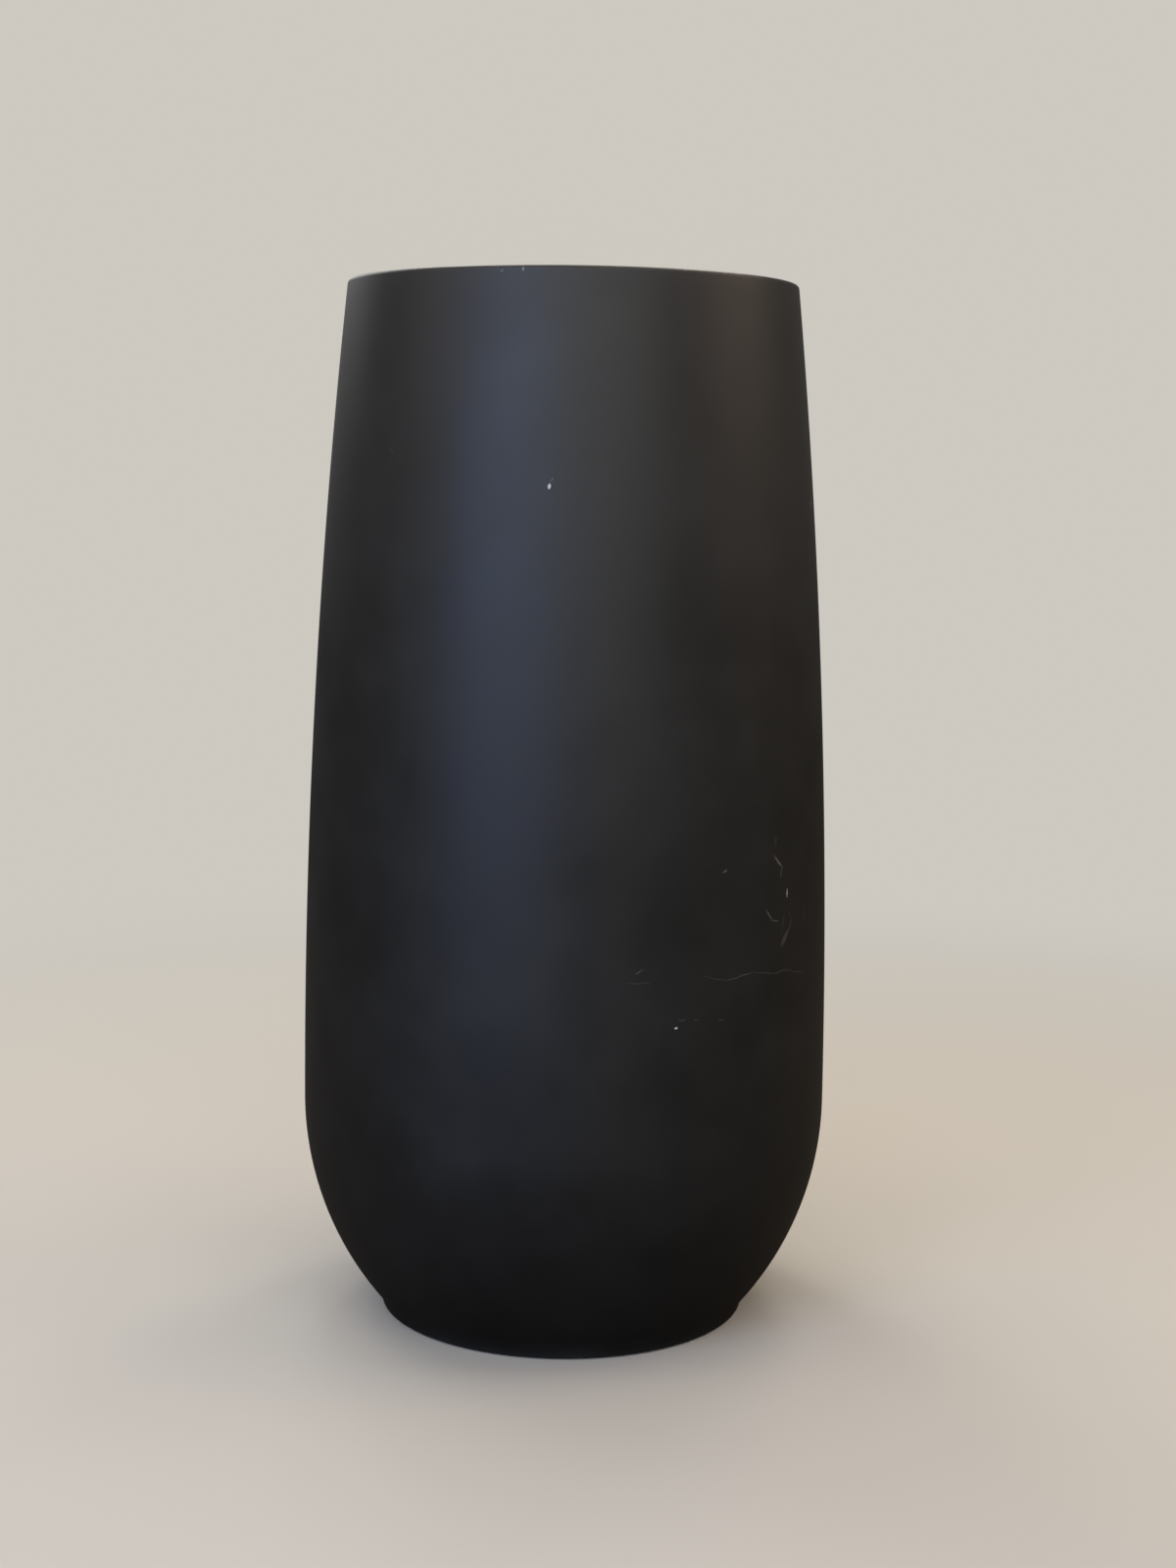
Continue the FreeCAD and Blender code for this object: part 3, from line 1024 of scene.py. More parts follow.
@dataclass
class PotShell:
    """The pot's shell: matt gel coat outside, brushed laminate inside.

    Attributes:
        flank: the outer form.
        finish: the gel coat.
        lining: the laminate inside.
        wall: thickness of the laminate, in millimetres.
        rim_wall: thickness at the mouth.
        rim_round: radius of the rim's outer edge.
        rim_ease: radius of the rim's inner edge.
        pocket: level of the ledge that carries the insert.
        ledge_radius: inner radius of that ledge.
        ledge: thickness of the ledge.
        fillet: how far the ledge's underside stops short of the wall, to round into it.
        recess: level of the recess under the foot.
        recess_draft: how far the recess narrows up to that level.
        floor: level of the pot's floor inside.
        floor_round: radius between the floor and the wall.
        ring: width of the foot ring.
        drain: radius of the drain hole.
        pad_circle: radius of the circle that the foot pads stand on.
        pad_pocket: width of their square pockets.
        pocket_top: level of the pockets' tops.
    """

    flank: Flank = Flank()
    finish: GelCoat = GelCoat()
    lining: Laminate = Laminate()
    wall: float = 6.0
    rim_wall: float = 8.0
    rim_round: float = 2.8
    rim_ease: float = 1.5
    pocket: float = 765.0
    ledge_radius: float = 145.0
    ledge: float = 8.0
    fillet: float = 4.0
    recess: float = 7.5
    recess_draft: float = 3.0
    floor: float = 15.5
    floor_round: float = 6.0
    ring: float = 26.0
    drain: float = 12.5
    pad_circle: float = 127.0
    pad_pocket: float = 19.0
    pocket_top: float = 3.0

    def outside(self) -> list[Pair]:
        """Draw the section from the drain hole, under the foot and up to the rim's flat.

        Returns:
            Radius and height of each point, in millimetres.
        """
        form = self.flank
        inner = form.foot_radius - self.ring
        under = rounded(
            [
                (self.drain, self.recess + 1, 0),
                (self.drain, self.recess, 0.6),
                (inner - self.recess_draft, self.recess, 1.5),
                (inner, form.foot_low, 1.0),
                (form.foot_radius, form.foot_low, 1.0),
                (form.foot_radius, form.foot_top, 0),
            ]
        )
        centre, radius, lean = form.lower()
        belly = arc((centre, form.belly_height), radius, -lean, 0.0, 40)
        centre, radius = form.upper()
        rim_level = form.height - self.rim_round
        top = math.asin((rim_level - form.belly_height) / (radius - self.rim_round))
        side = arc((centre, form.belly_height), radius, 0.0, top, 60)
        rim_centre = centre + (radius - self.rim_round) * math.cos(top)
        rim = arc((rim_centre, rim_level), self.rim_round, top, math.pi / 2, 12)
        return under + belly + side[1:] + rim[1:]

    def mouth(self) -> list[Pair]:
        """Draw the section from the rim's flat down to the underside of the ledge.

        Returns:
            Radius and height of each point, in millimetres.
        """
        mouth_radius = self.flank.rim_radius - self.rim_wall
        under = self.pocket - self.ledge
        wall = self.flank.radius_at(under, self.wall)
        return rounded(
            [
                (mouth_radius + 3, self.flank.height, 0),
                (mouth_radius, self.flank.height, self.rim_ease),
                (mouth_radius, self.pocket, 0.8),
                (self.ledge_radius, self.pocket, 1.2),
                (self.ledge_radius, under, 1.5),
                (wall - self.fillet, under, 0),
            ]
        )

    def inside(self) -> list[Pair]:
        """Draw the section of the laid-up wall, from the ledge down to the floor.

        Returns:
            Radius and height of each point, in millimetres.
        """
        steps = 50
        high = self.pocket - self.ledge - self.fillet
        low = self.floor + self.floor_round + 1
        levels = [high - (high - low) * i / steps for i in range(steps + 1)]
        wall = [(self.flank.radius_at(z, self.wall), z) for z in levels]
        foot = [
            (*wall[-1], 0),
            (self.flank.radius_at(self.floor, self.wall), self.floor, self.floor_round),
            (self.drain, self.floor, 0.8),
            (self.drain, self.floor - 2, 0),
        ]
        return wall + rounded(foot)[1:]

    def pockets(self) -> list[Mesh]:
        """Make the cutters of the square pockets that the pads sit in.

        Returns:
            The cutters' meshes.
        """
        outline = rounded_box(self.pad_pocket, self.pad_pocket, 2.0)
        below = 2.0
        place = Matrix.Translation(metres(self.pad_circle, 0, -below))
        turns = [Matrix.Rotation(math.radians(angle), 4, "Z") for angle in (45, 135, 225, 315)]
        depth = self.pocket_top + below
        return [extruded("pocket", outline, turn @ place, depth) for turn in turns]

    def build(self) -> None:
        """Make the shell and dress it."""
        outer = self.outside() + self.mouth()
        section = outer + self.inside()
        mesh = lathe("pot", section, closed=True, segments=256, inside=len(outer))
        mesh = carved(mesh, self.pockets())
        materials = [self.finish.build(self.flank), self.lining.build()]
        shown("gel_coated_shell", mesh, materials, Body.POT, "pot_shell")


@dataclass
class FootPads:
    """Four rubber pads, pressed into the pockets of the foot ring.

    Attributes:
        width: width of a pad, in millimetres.
        thickness: its thickness.
        circle: radius of the circle that the pads stand on.
        bevel: bevel round the tread.
        count: number of pads.
        finish: their rubber.
    """

    width: float = 18.0
    thickness: float = 3.0
    circle: float = 127.0
    bevel: float = 0.5
    count: int = 4
    finish: MouldedSkin = MouldedSkin(
        "moulded_epdm_rubber", "#161616", "#242423", 0.78, grain=0.9, grain_depth=0.05, cloud=8.0
    )

    def pad(self) -> Mesh:
        """Make one pad about the origin, with its tread on the floor.

        Returns:
            The pad's mesh.
        """
        ease = self.bevel * 0.3
        insets = ((self.bevel * 2, 0.0), (ease, ease), (0.0, self.bevel), (0.0, self.thickness))
        rings = []
        for inset, level in insets:
            outline = rounded_box(self.width - inset, self.width - inset, 2.0)
            rings.append([metres(x, y, level) for x, y in outline])
        return lofted("pad", rings)

    def all_round(self, rubber: Material) -> Mesh:
        """Stand copies of a pad on a circle, turned to face out.

        Args:
            rubber: the pads' material.

        Returns:
            The pads as one mesh.
        """
        values = {"Count": self.count, "Circle": self.circle * MM}
        values |= {"First Angle": math.radians(45), "Material": rubber}
        recipe = Recipe("pads_on_a_circle", values)
        given, put = recipe.given, recipe.put
        circle = {"Vertices": given["Count"], "Radius": given["Circle"]}
        ring = put("GeometryNodeMeshCircle", circle)
        turn = put("ShaderNodeCombineXYZ", {"Z": given["First Angle"]})
        turned = put("GeometryNodeTransform", {"Geometry": ring, "Rotation": turn})
        out = {"Vector": put("GeometryNodeInputPosition")}
        facing = put("FunctionNodeAlignRotationToVector", out, axis="X")
        copies = {"Points": turned, "Instance": given["Geometry"], "Rotation": facing}
        return recipe.cook(put("GeometryNodeInstanceOnPoints", copies), self.pad())

    def build(self) -> None:
        """Make the pads and dress them."""
        rubber = self.finish.build()
        mesh = self.all_round(rubber)
        shown("foot_rubbers", mesh, [rubber], Body.POT, "foot_pads")


@dataclass
class DrainPlug:
    """The rubber plug of the drain hole: stem with sealing rings, flange and pull tab.

    Attributes:
        stem_radius: radius of the stem, in millimetres.
        stem_low: level of the stem's lower end.
        floor: level of the pot's floor, on which the flange sits.
        flange_radius: radius of the flange.
        flange: thickness of the flange.
        tab_width: width of the pull tab.
        tab_thickness: its thickness.
        tab_height: its height above the flange.
        tab_root: how far it reaches into the flange.
        tab_crown: height over which its top is rounded.
        waist: how far its sides draw in for the fingers.
        finish: the plug's rubber.
    """

    stem_radius: float = 12.2
    stem_low: float = 5.5
    floor: float = 15.5
    flange_radius: float = 18.0
    flange: float = 3.0
    tab_width: float = 18.0
    tab_thickness: float = 4.0
    tab_height: float = 14.0
    tab_root: float = 0.4
    tab_crown: float = 1.4
    waist: float = 1.1
    finish: MouldedSkin = MouldedSkin(
        "moulded_nitrile_rubber", "#191918", "#2a2a28", 0.7, grain=0.7, grain_depth=0.04, cloud=14.0
    )

    def turned(self) -> Mesh:
        """Turn the stem, with its hollow end and two sealing rings, and the flange.

        Returns:
            Their mesh.
        """
        r, low = self.stem_radius, self.stem_low
        wide, top = self.flange_radius, self.floor + self.flange
        profile = rounded(
            [
                (0, low + 1.2, 0),
                (r - 4.0, low + 1.2, 0.8),
                (r - 3.4, low, 0.5),
                (r - 0.8, low, 0.6),
                (r - 0.2, low + 2.2, 0.5),
                (r, low + 3.0, 0.5),
                (r - 0.7, low + 4.2, 0.5),
                (r - 0.7, low + 5.4, 0.5),
                (r, low + 6.6, 0.5),
                (r, low + 8.4, 0.5),
                (r - 0.5, self.floor, 0.4),
                (wide, self.floor, 0.3),
                (wide, top - 0.9, 1.0),
                (wide - 3.5, top, 1.0),
                (wide - 4.5, top - 0.5, 0.4),
                (wide - 6.0, top - 0.5, 0.4),
                (wide - 7.0, top, 0.4),
                (0, top, 0),
            ]
        )
        return lathe("plug", profile, segments=96)

    def tab(self) -> Mesh:
        """Make the pull tab, with softened edges and a waist for the fingers.

        Returns:
            The tab's mesh.
        """
        base = self.floor + self.flange - self.tab_root
        height = self.tab_height + self.tab_root
        levels = [(0.0, 0.0, 0.0)]
        for share in (step / 8 for step in range(1, 9)):
            waist = self.waist * math.sin(math.pi * min(1.0, share * 1.25)) ** 2
            levels.append((share * (height - self.tab_crown), waist, waist * 0.35))
        levels += [(height - 0.5, 1.2, 0.35), (height, 3.4, 1.1)]
        rings = []
        for level, side, face in levels:
            deep = self.tab_thickness / 2 - face
            corner = min(1.6, deep * 0.8)
            outline = rounded_box(self.tab_width - side * 2, deep * 2, corner, steps=5)
            rings.append([metres(x, y, base + level) for x, y in outline])
        return lofted("tab", rings)

    def build(self) -> None:
        """Make the plug and dress it."""
        rubber = self.finish.build()
        mesh = joined("plug", [self.turned(), self.tab()])
        shown("drain_stopper", mesh, [rubber], Body.PLUG, "drain_plug")


@dataclass
class PlantingInsert:
    """The moulded insert: bucket, flange, lip with thumb notches, stops, ribs and drains.

    Attributes:
        bucket: outer radius of the bucket under the flange, in millimetres.
        draft: how much smaller that radius is at the bucket's foot.
        wall: thickness of its wall.
        flange_radius: outer radius of the flange.
        lip: level of the lip.
        flange: level of the flange's upper face.
        ledge: level of its lower face.
        under: level of the bucket's underside.
        grooves: levels of the stiffening grooves.
        groove: width of a groove.
        groove_depth: its depth.
        rib_low: level of the lower edge of the ribs.
        notch_width: width of a thumb notch.
        notch_sill: level of its sill.
        notch_round: radius at the ends of its sill.
        notch_ease: radius of its shoulders.
        pin_offset: distance of the hinge pins from the middle plane.
        pin_level: level of the pins.
        pin_hole: radius of their holes.
        stop_half: half the width of a stop block.
        stop_reach: radius that a stop block reaches out to.
        stop_top: level of its top.
        stop_ease: bevel of its edges.
        ribs: number of ribs, and of drain holes between them.
        rib_width: width of a rib.
        rib_reach: radius that the ribs reach out to.
        hub: radius of the hub.
        drain: radius of a drain hole.
        drain_circle: radius of the circle of drain holes.
        finish: the insert's plastic.
    """

    bucket: float = 143.5
    draft: float = 5.0
    wall: float = 3.0
    flange_radius: float = 158.2
    lip: float = 778.0
    flange: float = 768.0
    ledge: float = 765.0
    under: float = 481.0
    grooves: Pair = (700.0, 590.0)
    groove: float = 10.0
    groove_depth: float = 0.9
    rib_low: float = 475.0
    notch_width: float = 60.0
    notch_sill: float = 769.5
    notch_round: float = 4.5
    notch_ease: float = 2.2
    pin_offset: float = 16.0
    pin_level: float = 772.8
    pin_hole: float = 2.8
    stop_half: float = 12.7
    stop_reach: float = 155.5
    stop_top: float = 777.2
    stop_ease: float = 0.9
    ribs: int = 6
    rib_width: float = 3.0
    rib_reach: float = 132.5
    hub: float = 14.0
    drain: float = 5.0
    drain_circle: float = 83.1
    finish: MouldedSkin = MouldedSkin(
        "moulded_polypropylene", "#252628", "#2f3032", 0.52, grain=1.1, grain_depth=0.05, cloud=45.0
    )

    def turned(self) -> Mesh:
        """Turn the bucket with its flange, lip and shallow stiffening grooves.

        Returns:
            The bucket's mesh.
        """
        inner = self.bucket - self.wall
        foot = self.bucket - self.draft
        corners = [
            (0, self.under + self.wall, 0),
            (foot - self.wall, self.under + self.wall, 6.0),
            (inner, self.ledge, 30.0),
            (inner, self.lip, 1.2),
            (self.bucket, self.lip, 1.2),
            (self.bucket, self.flange, 0.8),
            (self.flange_radius, self.flange, 0.9),
            (self.flange_radius, self.ledge, 0.9),
            (self.bucket, self.ledge, 0.8),
        ]
        lean = self.draft / (self.ledge - self.under)
        half, deep = self.groove / 2, self.groove_depth
        for level in self.grooves:
            for rise, sink in ((half, 0.0), (half / 2, deep), (-half / 2, deep), (-half, 0.0)):
                radius = self.bucket - (self.ledge - level - rise) * lean - sink
                corners.append((radius, level + rise, 1.5))
        corners += [(foot, self.under, 3.0), (0, self.under, 0)]
        return lathe("insert", rounded(corners, steps=4))

    def notches(self) -> list[Mesh]:
        """Make the cutters of the thumb notches, with rounded sills and shoulders.

        Returns:
            The cutters' meshes.
        """
        half, top = self.notch_width / 2, self.lip
        foot, shoulder = (half, self.notch_sill, self.notch_round), (half, top, self.notch_ease)
        past, over = half + 6, top + 4
        right = [foot, shoulder, (past, top, 0), (past, over, 0)]
        left = [(-x, y, radius) for x, y, radius in reversed(right)]
        outline = rounded(left + right)
        start, depth = 100.0, 50.0
        cutters = []
        for side in (1, -1):
            axes = Matrix(((0, 0, side, 0), (side, 0, 0, 0), (0, 1, 0, 0), (0, 0, 0, 1)))
            place = Matrix.Translation(metres(side * start, 0, 0)) @ axes
            cutters.append(extruded("notch", outline, place, depth))
        return cutters

    def pin_holes(self) -> list[Mesh]:
        """Make the cutters of the hinge holes through the lip.

        Returns:
            The cutters' meshes.
        """
        circle = arc((0, 0), self.pin_hole, 0, 2 * math.pi, 24)[:-1]
        lay = Matrix.Rotation(math.radians(90), 4, "X")
        reach = 150.0
        cutters = []
        for side in (1, -1):
            place = Matrix.Translation(metres(side * self.pin_offset, reach, self.pin_level))
            cutters.append(extruded("bore", circle, place @ lay, 2 * reach))
        return cutters

    def stops(self) -> list[Mesh]:
        """Make the two stop blocks on the flange, with eased edges.

        Returns:
            The blocks' meshes.
        """
        inner, low = self.bucket - self.wall / 2, self.ledge + 1
        size = metres(self.stop_half * 2, self.stop_reach - inner, self.stop_top - low)
        blocks = []
        for side in (1, -1):
            centre = metres(0, side * (self.stop_reach + inner) / 2, (self.stop_top + low) / 2)
            shape = Matrix.Translation(centre) @ Matrix.Diagonal((*size, 1))
            body = bmesh.new()
            bmesh.ops.create_cube(body, size=1.0, matrix=shape)
            ease = {"offset": self.stop_ease * MM, "segments": 3, "profile": 0.5}
            bmesh.ops.bevel(body, geom=body.edges[:], affect="EDGES", **ease)
            blocks.append(finished_mesh("stop", body))
        return blocks

    def drained(self, bucket: Mesh, plastic: Material) -> Mesh:
        """Drill the drains, and set the ribs and the hub under the floor.

        Args:
            bucket: the bucket's mesh.
            plastic: its material.

        Returns:
            The bucket with its holes, ribs and hub.
        """
        rib_height = self.under - self.rib_low + self.wall / 2
        values = {
            "Count": self.ribs,
            "Drain Radius": self.drain * MM,
            "Drain Circle": self.drain_circle * MM,
            "Rib Reach": self.rib_reach * MM,
            "Rib Width": self.rib_width * MM,
            "Rib Height": rib_height * MM,
            "Rib Level": (self.rib_low + rib_height / 2) * MM,
            "Hub Radius": self.hub * MM,
            "Material": plastic,
        }
        recipe = Recipe("drains_and_ribs", values)
        given, put = recipe.given, recipe.put
        count, reach, height = given["Count"], given["Rib Reach"], given["Rib Height"]
        level = put("ShaderNodeCombineXYZ", {"Z": given["Rib Level"]})
        half_turn = put("ShaderNodeMath", {0: math.pi, 1: count}, operation="DIVIDE")
        turn = put("ShaderNodeCombineXYZ", {"Z": half_turn})
        circle = {"Vertices": count, "Radius": given["Drain Circle"]}
        ring = put("GeometryNodeMeshCircle", circle)
        between = {"Geometry": ring, "Rotation": turn, "Translation": level}
        spots = put("GeometryNodeTransform", between)
        bit = {"Vertices": 28, "Radius": given["Drain Radius"], "Depth": 40 * MM}
        drill = {"Points": spots, "Instance": put("GeometryNodeMeshCylinder", bit)}
        drills = put("GeometryNodeInstanceOnPoints", drill)
        cut = {0: given["Geometry"], 1: put("GeometryNodeRealizeInstances", {0: drills})}
        drilled = put("GeometryNodeMeshBoolean", cut, operation="DIFFERENCE", solver="EXACT")
        half_reach = put("ShaderNodeMath", {0: reach, 1: 0.5}, operation="MULTIPLY")
        middles = put("GeometryNodeMeshCircle", {"Vertices": count, "Radius": half_reach})
        raised = put("GeometryNodeTransform", {"Geometry": middles, "Translation": level})
        size = put("ShaderNodeCombineXYZ", {"X": reach, "Y": given["Rib Width"], "Z": height})
        rib = put("GeometryNodeMeshCube", {"Size": size})
        flat = {0: put("GeometryNodeInputPosition"), 1: (1.0, 1.0, 0.0)}
        out = put("ShaderNodeVectorMath", flat, operation="MULTIPLY")
        facing = put("FunctionNodeAlignRotationToVector", {"Vector": out}, axis="X")
        copies = {"Points": raised, "Instance": rib, "Rotation": facing}
        ribs = put("GeometryNodeInstanceOnPoints", copies)
        disc = {"Vertices": 48, "Radius": given["Hub Radius"], "Depth": height}
        boss = put("GeometryNodeMeshCylinder", disc)
        hub = put("GeometryNodeTransform", {"Geometry": boss, "Translation": level})
        whole = put("GeometryNodeJoinGeometry", {0: [drilled, ribs, hub]})
        return recipe.cook(whole, bucket)

    def build(self) -> None:
        """Make the insert and dress it."""
        plastic = self.finish.build()
        bucket = carved(self.turned(), self.notches() + self.pin_holes())
        mesh = joined("insert", [self.drained(bucket, plastic), *self.stops()])
        slot, node = "insert_plastic", "planting_insert"
        shown("lift_out_bucket", mesh, [plastic], Body.INSERT, node)


@dataclass
class Handle:
    """One fold-up handle: a bent bar with two hinge pins, and its push-on grip.

    Attributes:
        side: the side of the mouth that it lies on.
        bend_circle: radius of the circle that the bends lie on, in millimetres.
        pivot_offset: distance of the pins from the middle plane.
        level: level of the bar's middle line at rest.
        bar: width of the square bar.
        bar_ease: radius of its edges.
        straight: length of the middle side, which the grip covers.
        arm_bends: number of sides in each arm.
        bend_round: radius of the bends.
        end_round: radius of the turns at the pins.
        nose: how far the bar goes past those turns, before its half-round noses.
        pin: radius of a pin.
        pin_start: distance of a pin's free end from the middle.
        bead: how far a pin's weld bead stands out.
        grip: width of the grip.
        grip_length: its length.
        bore: width of its bore.
        grip_ease: radius of its edges.
        ridges: number of ridges on it.
        ridge: radius of a ridge.
        ridge_sink: how far a ridge's middle line lies inside the grip's face.
        ridge_ease: radius of a ridge's corners.
        ridge_margin: distance of the first ridge from the grip's end.
        steel: the bar's metal.
        vinyl: the grip's skin.
    """

    side: Side
    bend_circle: float = 154.28
    pivot_offset: float = 16.0
    level: float = 772.8
    bar: float = 6.0
    bar_ease: float = 0.9
    straight: float = 80.0
    arm_bends: int = 3
    bend_round: float = 9.0
    end_round: float = 2.0
    nose: float = 0.4
    pin: float = 2.5
    pin_start: float = 137.5
    bead: float = 0.45
    grip: float = 9.0
    grip_length: float = 78.0
    bore: float = 6.3
    grip_ease: float = 2.6
    ridges: int = 14
    ridge: float = 0.5
    ridge_sink: float = 0.55
    ridge_ease: float = 2.2
    ridge_margin: float = 8.0
    steel: BrushedStainless = BrushedStainless()
    vinyl: MouldedSkin = MouldedSkin(
        "moulded_soft_vinyl", "#1b1b1c", "#262626", 0.62, grain=0.6, grain_depth=0.03, cloud=20.0
    )

    def pivot(self) -> float:
        """Return the distance of the bar's ends from the middle."""
        return math.sqrt(self.bend_circle**2 - self.pivot_offset**2)

    def middle(self) -> float:
        """Return the distance of the grip's middle line from the pot's axis."""
        return math.sqrt(self.bend_circle**2 - (self.straight / 2) ** 2)

    def plan(self) -> list[Pair]:
        """Draw the bar's middle line seen from above, bends rounded, for the right side.

        Returns:
            The line's points, in millimetres.
        """
        grip_angle = math.asin(self.straight / 2 / self.bend_circle)
        pivot_angle = math.acos(self.pivot_offset / self.bend_circle)
        step = (pivot_angle - grip_angle) / self.arm_bends
        half = [grip_angle + step * i for i in range(self.arm_bends + 1)]
        angles = [-a for a in reversed(half)] + half
        spots = [(self.bend_circle * math.cos(a), self.bend_circle * math.sin(a)) for a in angles]
        bends = [(x, y, self.bend_round) for x, y in spots[1:-1]]
        (first_x, first_y), (last_x, last_y) = spots[0], spots[-1]
        head = [(first_x - self.nose, first_y, 0.0), (first_x, first_y, self.end_round)]
        tail = [(last_x, last_y, self.end_round), (last_x - self.nose, last_y, 0.0)]
        return rounded(head + bends + tail, steps=6)

    def stations(self) -> list[tuple[Vector, Vector, float]]:
        """Set places along the bar for its section, the half-round noses among them.

        Returns:
            Each place, the bar's way there, and the share of the section's height.
        """
        spots = [Vector(spot) for spot in self.plan()]
        line: list[tuple[Vector, Vector, float]] = []
        for before, spot, after in zip([spots[0], *spots], spots, [*spots[1:], spots[-1]]):
            line.append((spot, (after - before).normalized(), 1.0))
        steps, flattest = 6, 0.02
        turns = [math.pi / 2 * step / steps for step in range(steps, 0, -1)]
        nose = [(self.bar / 2 * math.sin(turn), max(math.cos(turn), flattest)) for turn in turns]
        (start, in_way, _), (end, out_way, _) = line[0], line[-1]
        head = [(start - in_way * reach, in_way, flat) for reach, flat in nose]
        tail = [(end + out_way * reach, out_way, flat) for reach, flat in reversed(nose)]
        return head + line + tail

    def rod(self) -> Mesh:
        """Make the bar, with half-round noses, and its UV map along the bar.

        Returns:
            The bar's mesh.
        """
        section = rounded_box(self.bar, self.bar, self.bar_ease, steps=3)
        line = self.stations()
        rings, lengths, run, previous = [], [], 0.0, line[0][0]
        for place, way, flat in line:
            run += (place - previous).length
            previous = place
            lengths.append(run)
            out = Vector((way.y, -way.x))
            spots = [(place + out * across, self.level + up * flat) for across, up in section]
            rings.append([metres(spot.x, spot.y, height) for spot, height in spots])
        body = bmesh.new()
        faces = skin(body, rings)
        layer = body.loops.layers.uv.new("along")
        girth = 4 * self.bar
        for number, face in enumerate(faces[:-2]):
            ring, side = divmod(number, len(section))
            for loop, (ahead, round_) in zip(face.loops, ((0, 0), (0, 1), (1, 1), (1, 0))):
                share = (side + round_) / len(section)
                loop[layer].uv = metres(lengths[ring + ahead], share * girth)
        for loop in (*faces[-2].loops, *faces[-1].loops):
            loop[layer].uv = (loop.vert.co.y, loop.vert.co.z)
        return finished_mesh("bar", body, sharp=55.0)

    def pins(self) -> list[Mesh]:
        """Make both pins, each with its weld bead and a chamfered end.

        Returns:
            The pins' meshes.
        """
        face, bead = self.pivot() - self.bar / 2, self.pin + self.bead
        profile = [
            (0.0, self.pin_start),
            (self.pin - 0.6, self.pin_start),
            (self.pin, self.pin_start + 0.6),
            (self.pin, face - 1.1),
            (self.pin + 0.15, face - 0.6),
            (bead, face - 0.2),
            (bead, face + 1.0),
            (0.0, face + 1.0),
        ]
        place = Matrix.Translation(metres(self.pivot_offset, 0, self.level))
        parts = []
        for way in (1, -1):
            pin = lathe("pin", profile, segments=32)
            pin.transform(place @ Matrix.Rotation(math.radians(-90 * way), 4, "X"))
            parts.append(pin)
        return parts

    def sleeve(self) -> Mesh:
        """Make the grip's tube, with softly rounded ends and its bore.

        Returns:
            The tube's mesh.
        """
        wide, half = self.grip, self.grip_length / 2
        end = (self.bar + 1.4, 0.0), (wide - 0.6, 0.2), (wide, 1.0), (wide, 4.0), (wide - 0.9, 5.0)
        stations = [(self.bore, half - 0.5, self.bar_ease)]
        stations += [(width, half - inset, self.grip_ease * width / wide) for width, inset in end]
        stations += [(width, -y, corner) for width, y, corner in reversed(stations)]
        rings = []
        for width, y, corner in stations:
            section = rounded_box(width, width, corner)
            rings.append([metres(self.middle() + a, y, self.level + b) for a, b in section])
        return lofted("sleeve", rings, closed=True)

    def ridged(self, vinyl: Material) -> Mesh:
        """Set a row of rounded ridges along the grip.

        Args:
            vinyl: the grip's material.

        Returns:
            The grip with its ridges.
        """
        pitch = (self.grip_length - 2 * self.ridge_margin) / (self.ridges - 1)
        first = Vector((self.middle(), -pitch * (self.ridges - 1) / 2, self.level)) * MM
        values = {
            "Count": self.ridges,
            "Pitch": pitch * MM,
            "First": first,
            "Width": (self.grip - 2 * self.ridge_sink) * MM,
            "Corner": self.ridge_ease * MM,
            "Ridge": self.ridge * MM,
            "Material": vinyl,
        }
        recipe = Recipe("ridges_along_a_grip", values)
        given, put = recipe.given, recipe.put
        step = put("ShaderNodeCombineXYZ", {"Y": given["Pitch"]})
        line = {"Count": given["Count"], "Start Location": given["First"], "Offset": step}
        row = put("GeometryNodeMeshLine", line, mode="OFFSET")
        sides = {"Width": given["Width"], "Height": given["Width"]}
        loop = put("GeometryNodeCurvePrimitiveQuadrilateral", sides, mode="RECTANGLE")
        corners = {"Curve": loop, "Radius": given["Corner"], "Count": 4}
        eased = put("GeometryNodeFilletCurve", corners, mode="POLY")
        circle = {"Resolution": 8, "Radius": given["Ridge"]}
        bead = put("GeometryNodeCurvePrimitiveCircle", circle, mode="RADIUS")
        ridge = put("GeometryNodeCurveToMesh", {"Curve": eased, "Profile Curve": bead})
        upright = (math.pi / 2, 0.0, 0.0)
        copies = {"Points": row, "Instance": ridge, "Rotation": upright}
        ridges = put("GeometryNodeInstanceOnPoints", copies)
        both = put("GeometryNodeJoinGeometry", {0: [given["Geometry"], ridges]})
        return recipe.cook(put("GeometryNodeSetShadeSmooth", {0: both}), self.sleeve())

    def build(self) -> None:
        """Make the bar and the grip, turn them to their side and dress them."""
        label = self.side.value
        body = Body(f"{label}_handle")
        turn = Matrix.Rotation(math.pi if self.side is Side.LEFT else 0, 4, "Z")
        steel = self.steel.build((self.pivot() - self.bar / 2) * MM)
        bar = joined("bar", [self.rod(), *self.pins()])
        bar.transform(turn)
        shown(f"{label}_bar", bar, [steel], body, f"{label}_handle_bar")
        vinyl = self.vinyl.build()
        grip = self.ridged(vinyl)
        grip.transform(turn)
        shown(f"{label}_grip", grip, [vinyl], body, f"{label}_handle_grip")


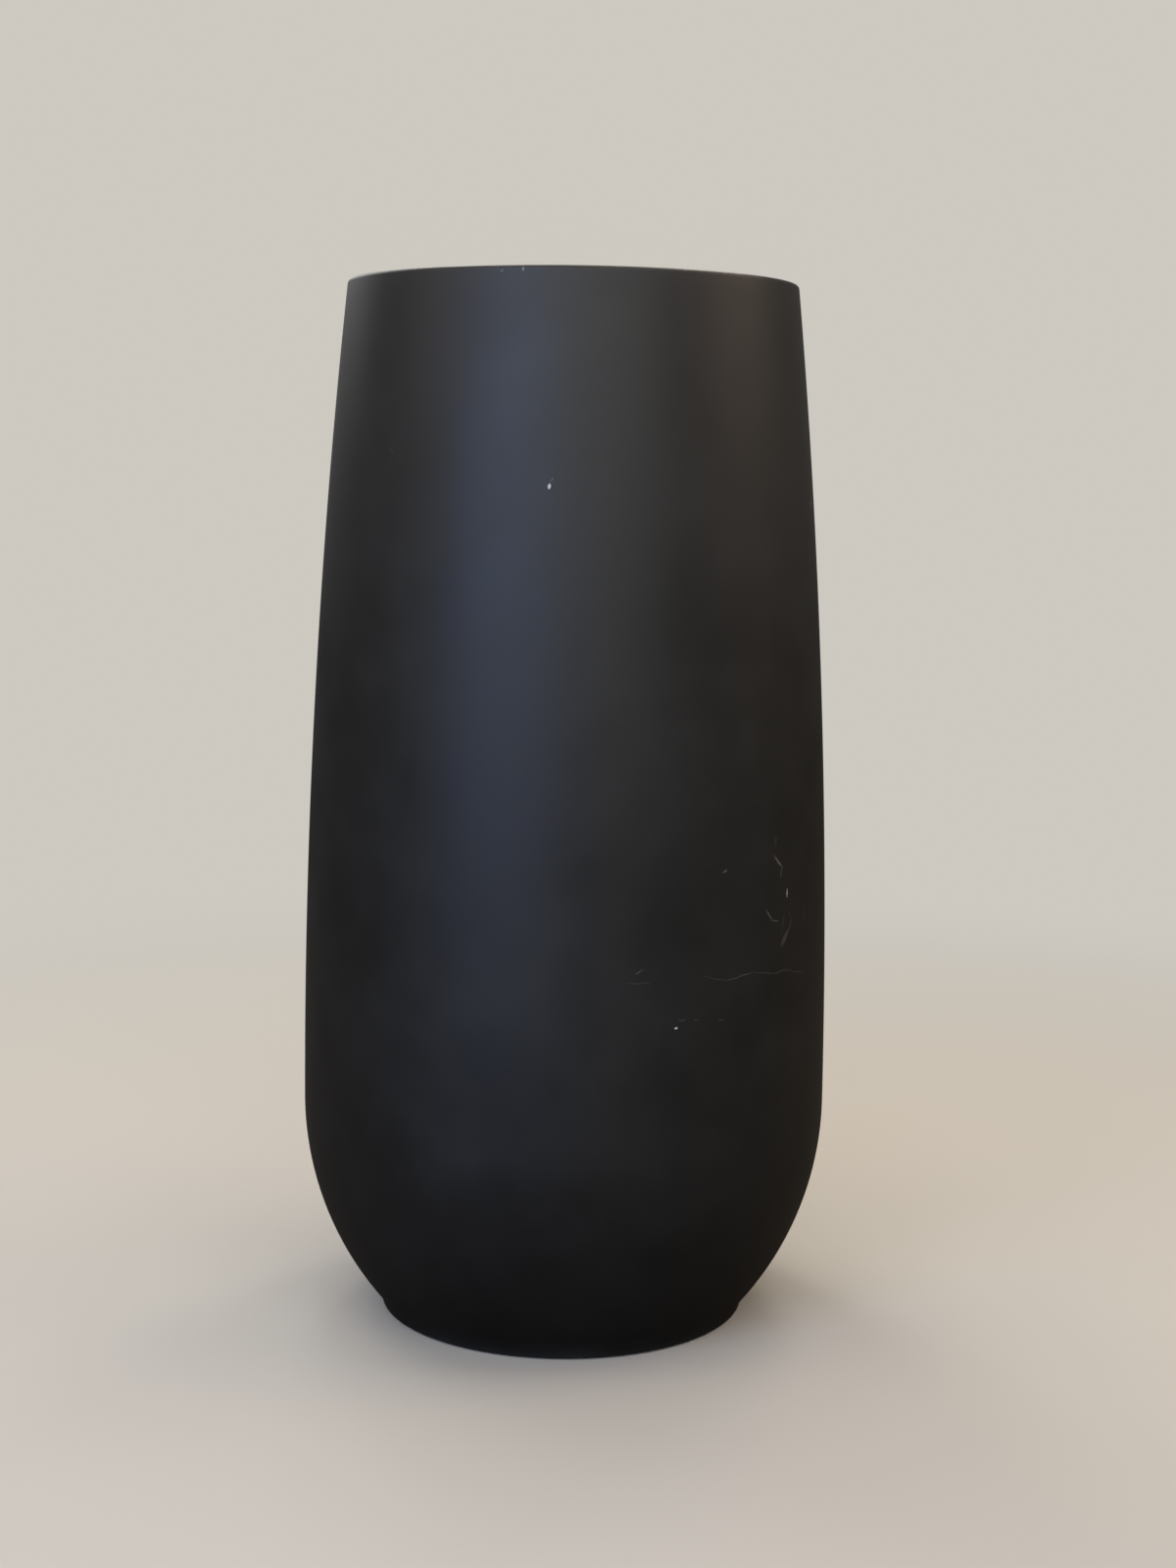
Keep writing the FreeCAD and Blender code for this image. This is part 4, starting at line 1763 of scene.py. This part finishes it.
@dataclass(frozen=True)
class SoftBox:
    """A soft box that faces the pot.

    Attributes:
        name: the lamp's name.
        place: its place, in metres.
        size: its width and height, in metres.
        power: its power, in watts.
        colour: its light's colour.
        aim: the place that it faces.
    """

    name: str
    place: Triple
    size: Pair
    power: float
    colour: str
    aim: Triple = (0.0, 0.0, 0.4)

    def hang(self) -> None:
        """Hang the lamp, out of the camera's sight."""
        data = bpy.data.lights.new(self.name, "AREA")
        data.shape = "RECTANGLE"
        data.size, data.size_y = self.size
        data.energy = self.power
        data.color = linear(self.colour)[:3]
        lamp = placed(self.name, data)
        lamp.location = self.place
        facing = Vector(self.aim) - Vector(self.place)
        lamp.rotation_euler = facing.to_track_quat("-Z", "Y").to_euler()
        lamp.visible_camera = False


@dataclass
class Studio:
    """Camera, ground, air and soft lamps.

    Attributes:
        lens: the camera's focal length on a 36 mm long side, in millimetres.
        eye: the camera's place, in metres.
        pitch: how far it looks up, in radians.
        roll: how far it leans to its right.
        yaw: how far it looks to its right.
        paper: the ground and the air.
        paper_reach: how far the ground goes from the pot, in metres.
        lamps: the soft boxes.
    """

    lens: float = 54.09
    eye: Triple = (0.0152, -1.7871, 0.6368)
    pitch: float = -0.12874
    roll: float = 0.013471
    yaw: float = 0.000219
    paper: StudioPaper = StudioPaper()
    paper_reach: float = 40.0
    lamps: tuple[SoftBox, ...] = (
        SoftBox("key_high", (-1.1, -2.1, 1.95), (1.1, 1.15), 17.5, "#d4ddee"),
        SoftBox("key_low", (-1.2, -2.15, 0.85), (1.9, 1.15), 20.0, "#aac4ff"),
        SoftBox("front", (0.6, -2.35, 1.75), (2.4, 1.8), 28.0, "#f6f3ec"),
        SoftBox("fill", (2.2, -0.1, 1.8), (1.7, 1.3), 16.0, "#ffe3cc"),
        SoftBox("left", (-2.1, -0.9, 1.7), (1.5, 1.1), 7.5, "#fff1da"),
        SoftBox("back", (-1.4, 1.7, 1.8), (1.6, 1.4), 16.0, "#f4f2f0"),
        SoftBox("top", (0.0, 0.4, 2.6), (3.0, 3.0), 34.0, "#fff5e8"),
        SoftBox("rim_left", (-0.45, 1.35, 2.2), (0.5, 0.5), 5.0, "#ffffff"),
        SoftBox("rim_right", (0.65, 1.25, 2.2), (0.5, 0.5), 5.0, "#fff6e6"),
    )

    def camera(self) -> None:
        """Set the camera at the photograph's viewing angle."""
        turn, rise = self.yaw, self.pitch
        flat = math.cos(rise)
        ahead = Vector((math.sin(turn) * flat, math.cos(turn) * flat, math.sin(rise)))
        level = Vector((math.cos(turn), -math.sin(turn), 0))
        above = level.cross(ahead)
        right = level * math.cos(self.roll) + above * math.sin(self.roll)
        up = above * math.cos(self.roll) - level * math.sin(self.roll)
        data = bpy.data.cameras.new("camera")
        data.sensor_width = 36.0
        data.lens = self.lens
        data.clip_start = 0.01
        camera = placed("camera", data)
        axes = Matrix((right, up, -ahead)).transposed().to_4x4()
        camera.matrix_world = Matrix.Translation(self.eye) @ axes
        bpy.context.scene.camera = camera

    def ground(self) -> None:
        """Lay the paper on the floor, past every horizon."""
        signs = ((-1, -1), (1, -1), (1, 1), (-1, 1))
        corners = [(x * self.paper_reach, y * self.paper_reach, 0.0) for x, y in signs]
        mesh = bpy.data.meshes.new("paper")
        mesh.from_pydata(corners, [], [(0, 1, 2, 3)])
        mesh.materials.append(self.paper.build())
        sheet = placed("paper", mesh)

    def build(self) -> None:
        """Set the whole studio up."""
        self.camera()
        self.ground()
        for lamp in self.lamps:
            lamp.hang()
        bpy.context.scene.world = self.paper.world()
        bpy.context.scene.view_settings.view_transform = "Standard"


def main() -> None:
    """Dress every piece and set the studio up."""
    logging.basicConfig(level=logging.INFO, format="%(name)s: %(message)s")
    PotShell().build()
    FootPads().build()
    DrainPlug().build()
    PlantingInsert().build()
    for side in Side:
        Handle(side).build()
    Studio().build()


if __name__ == "__main__":
    main()
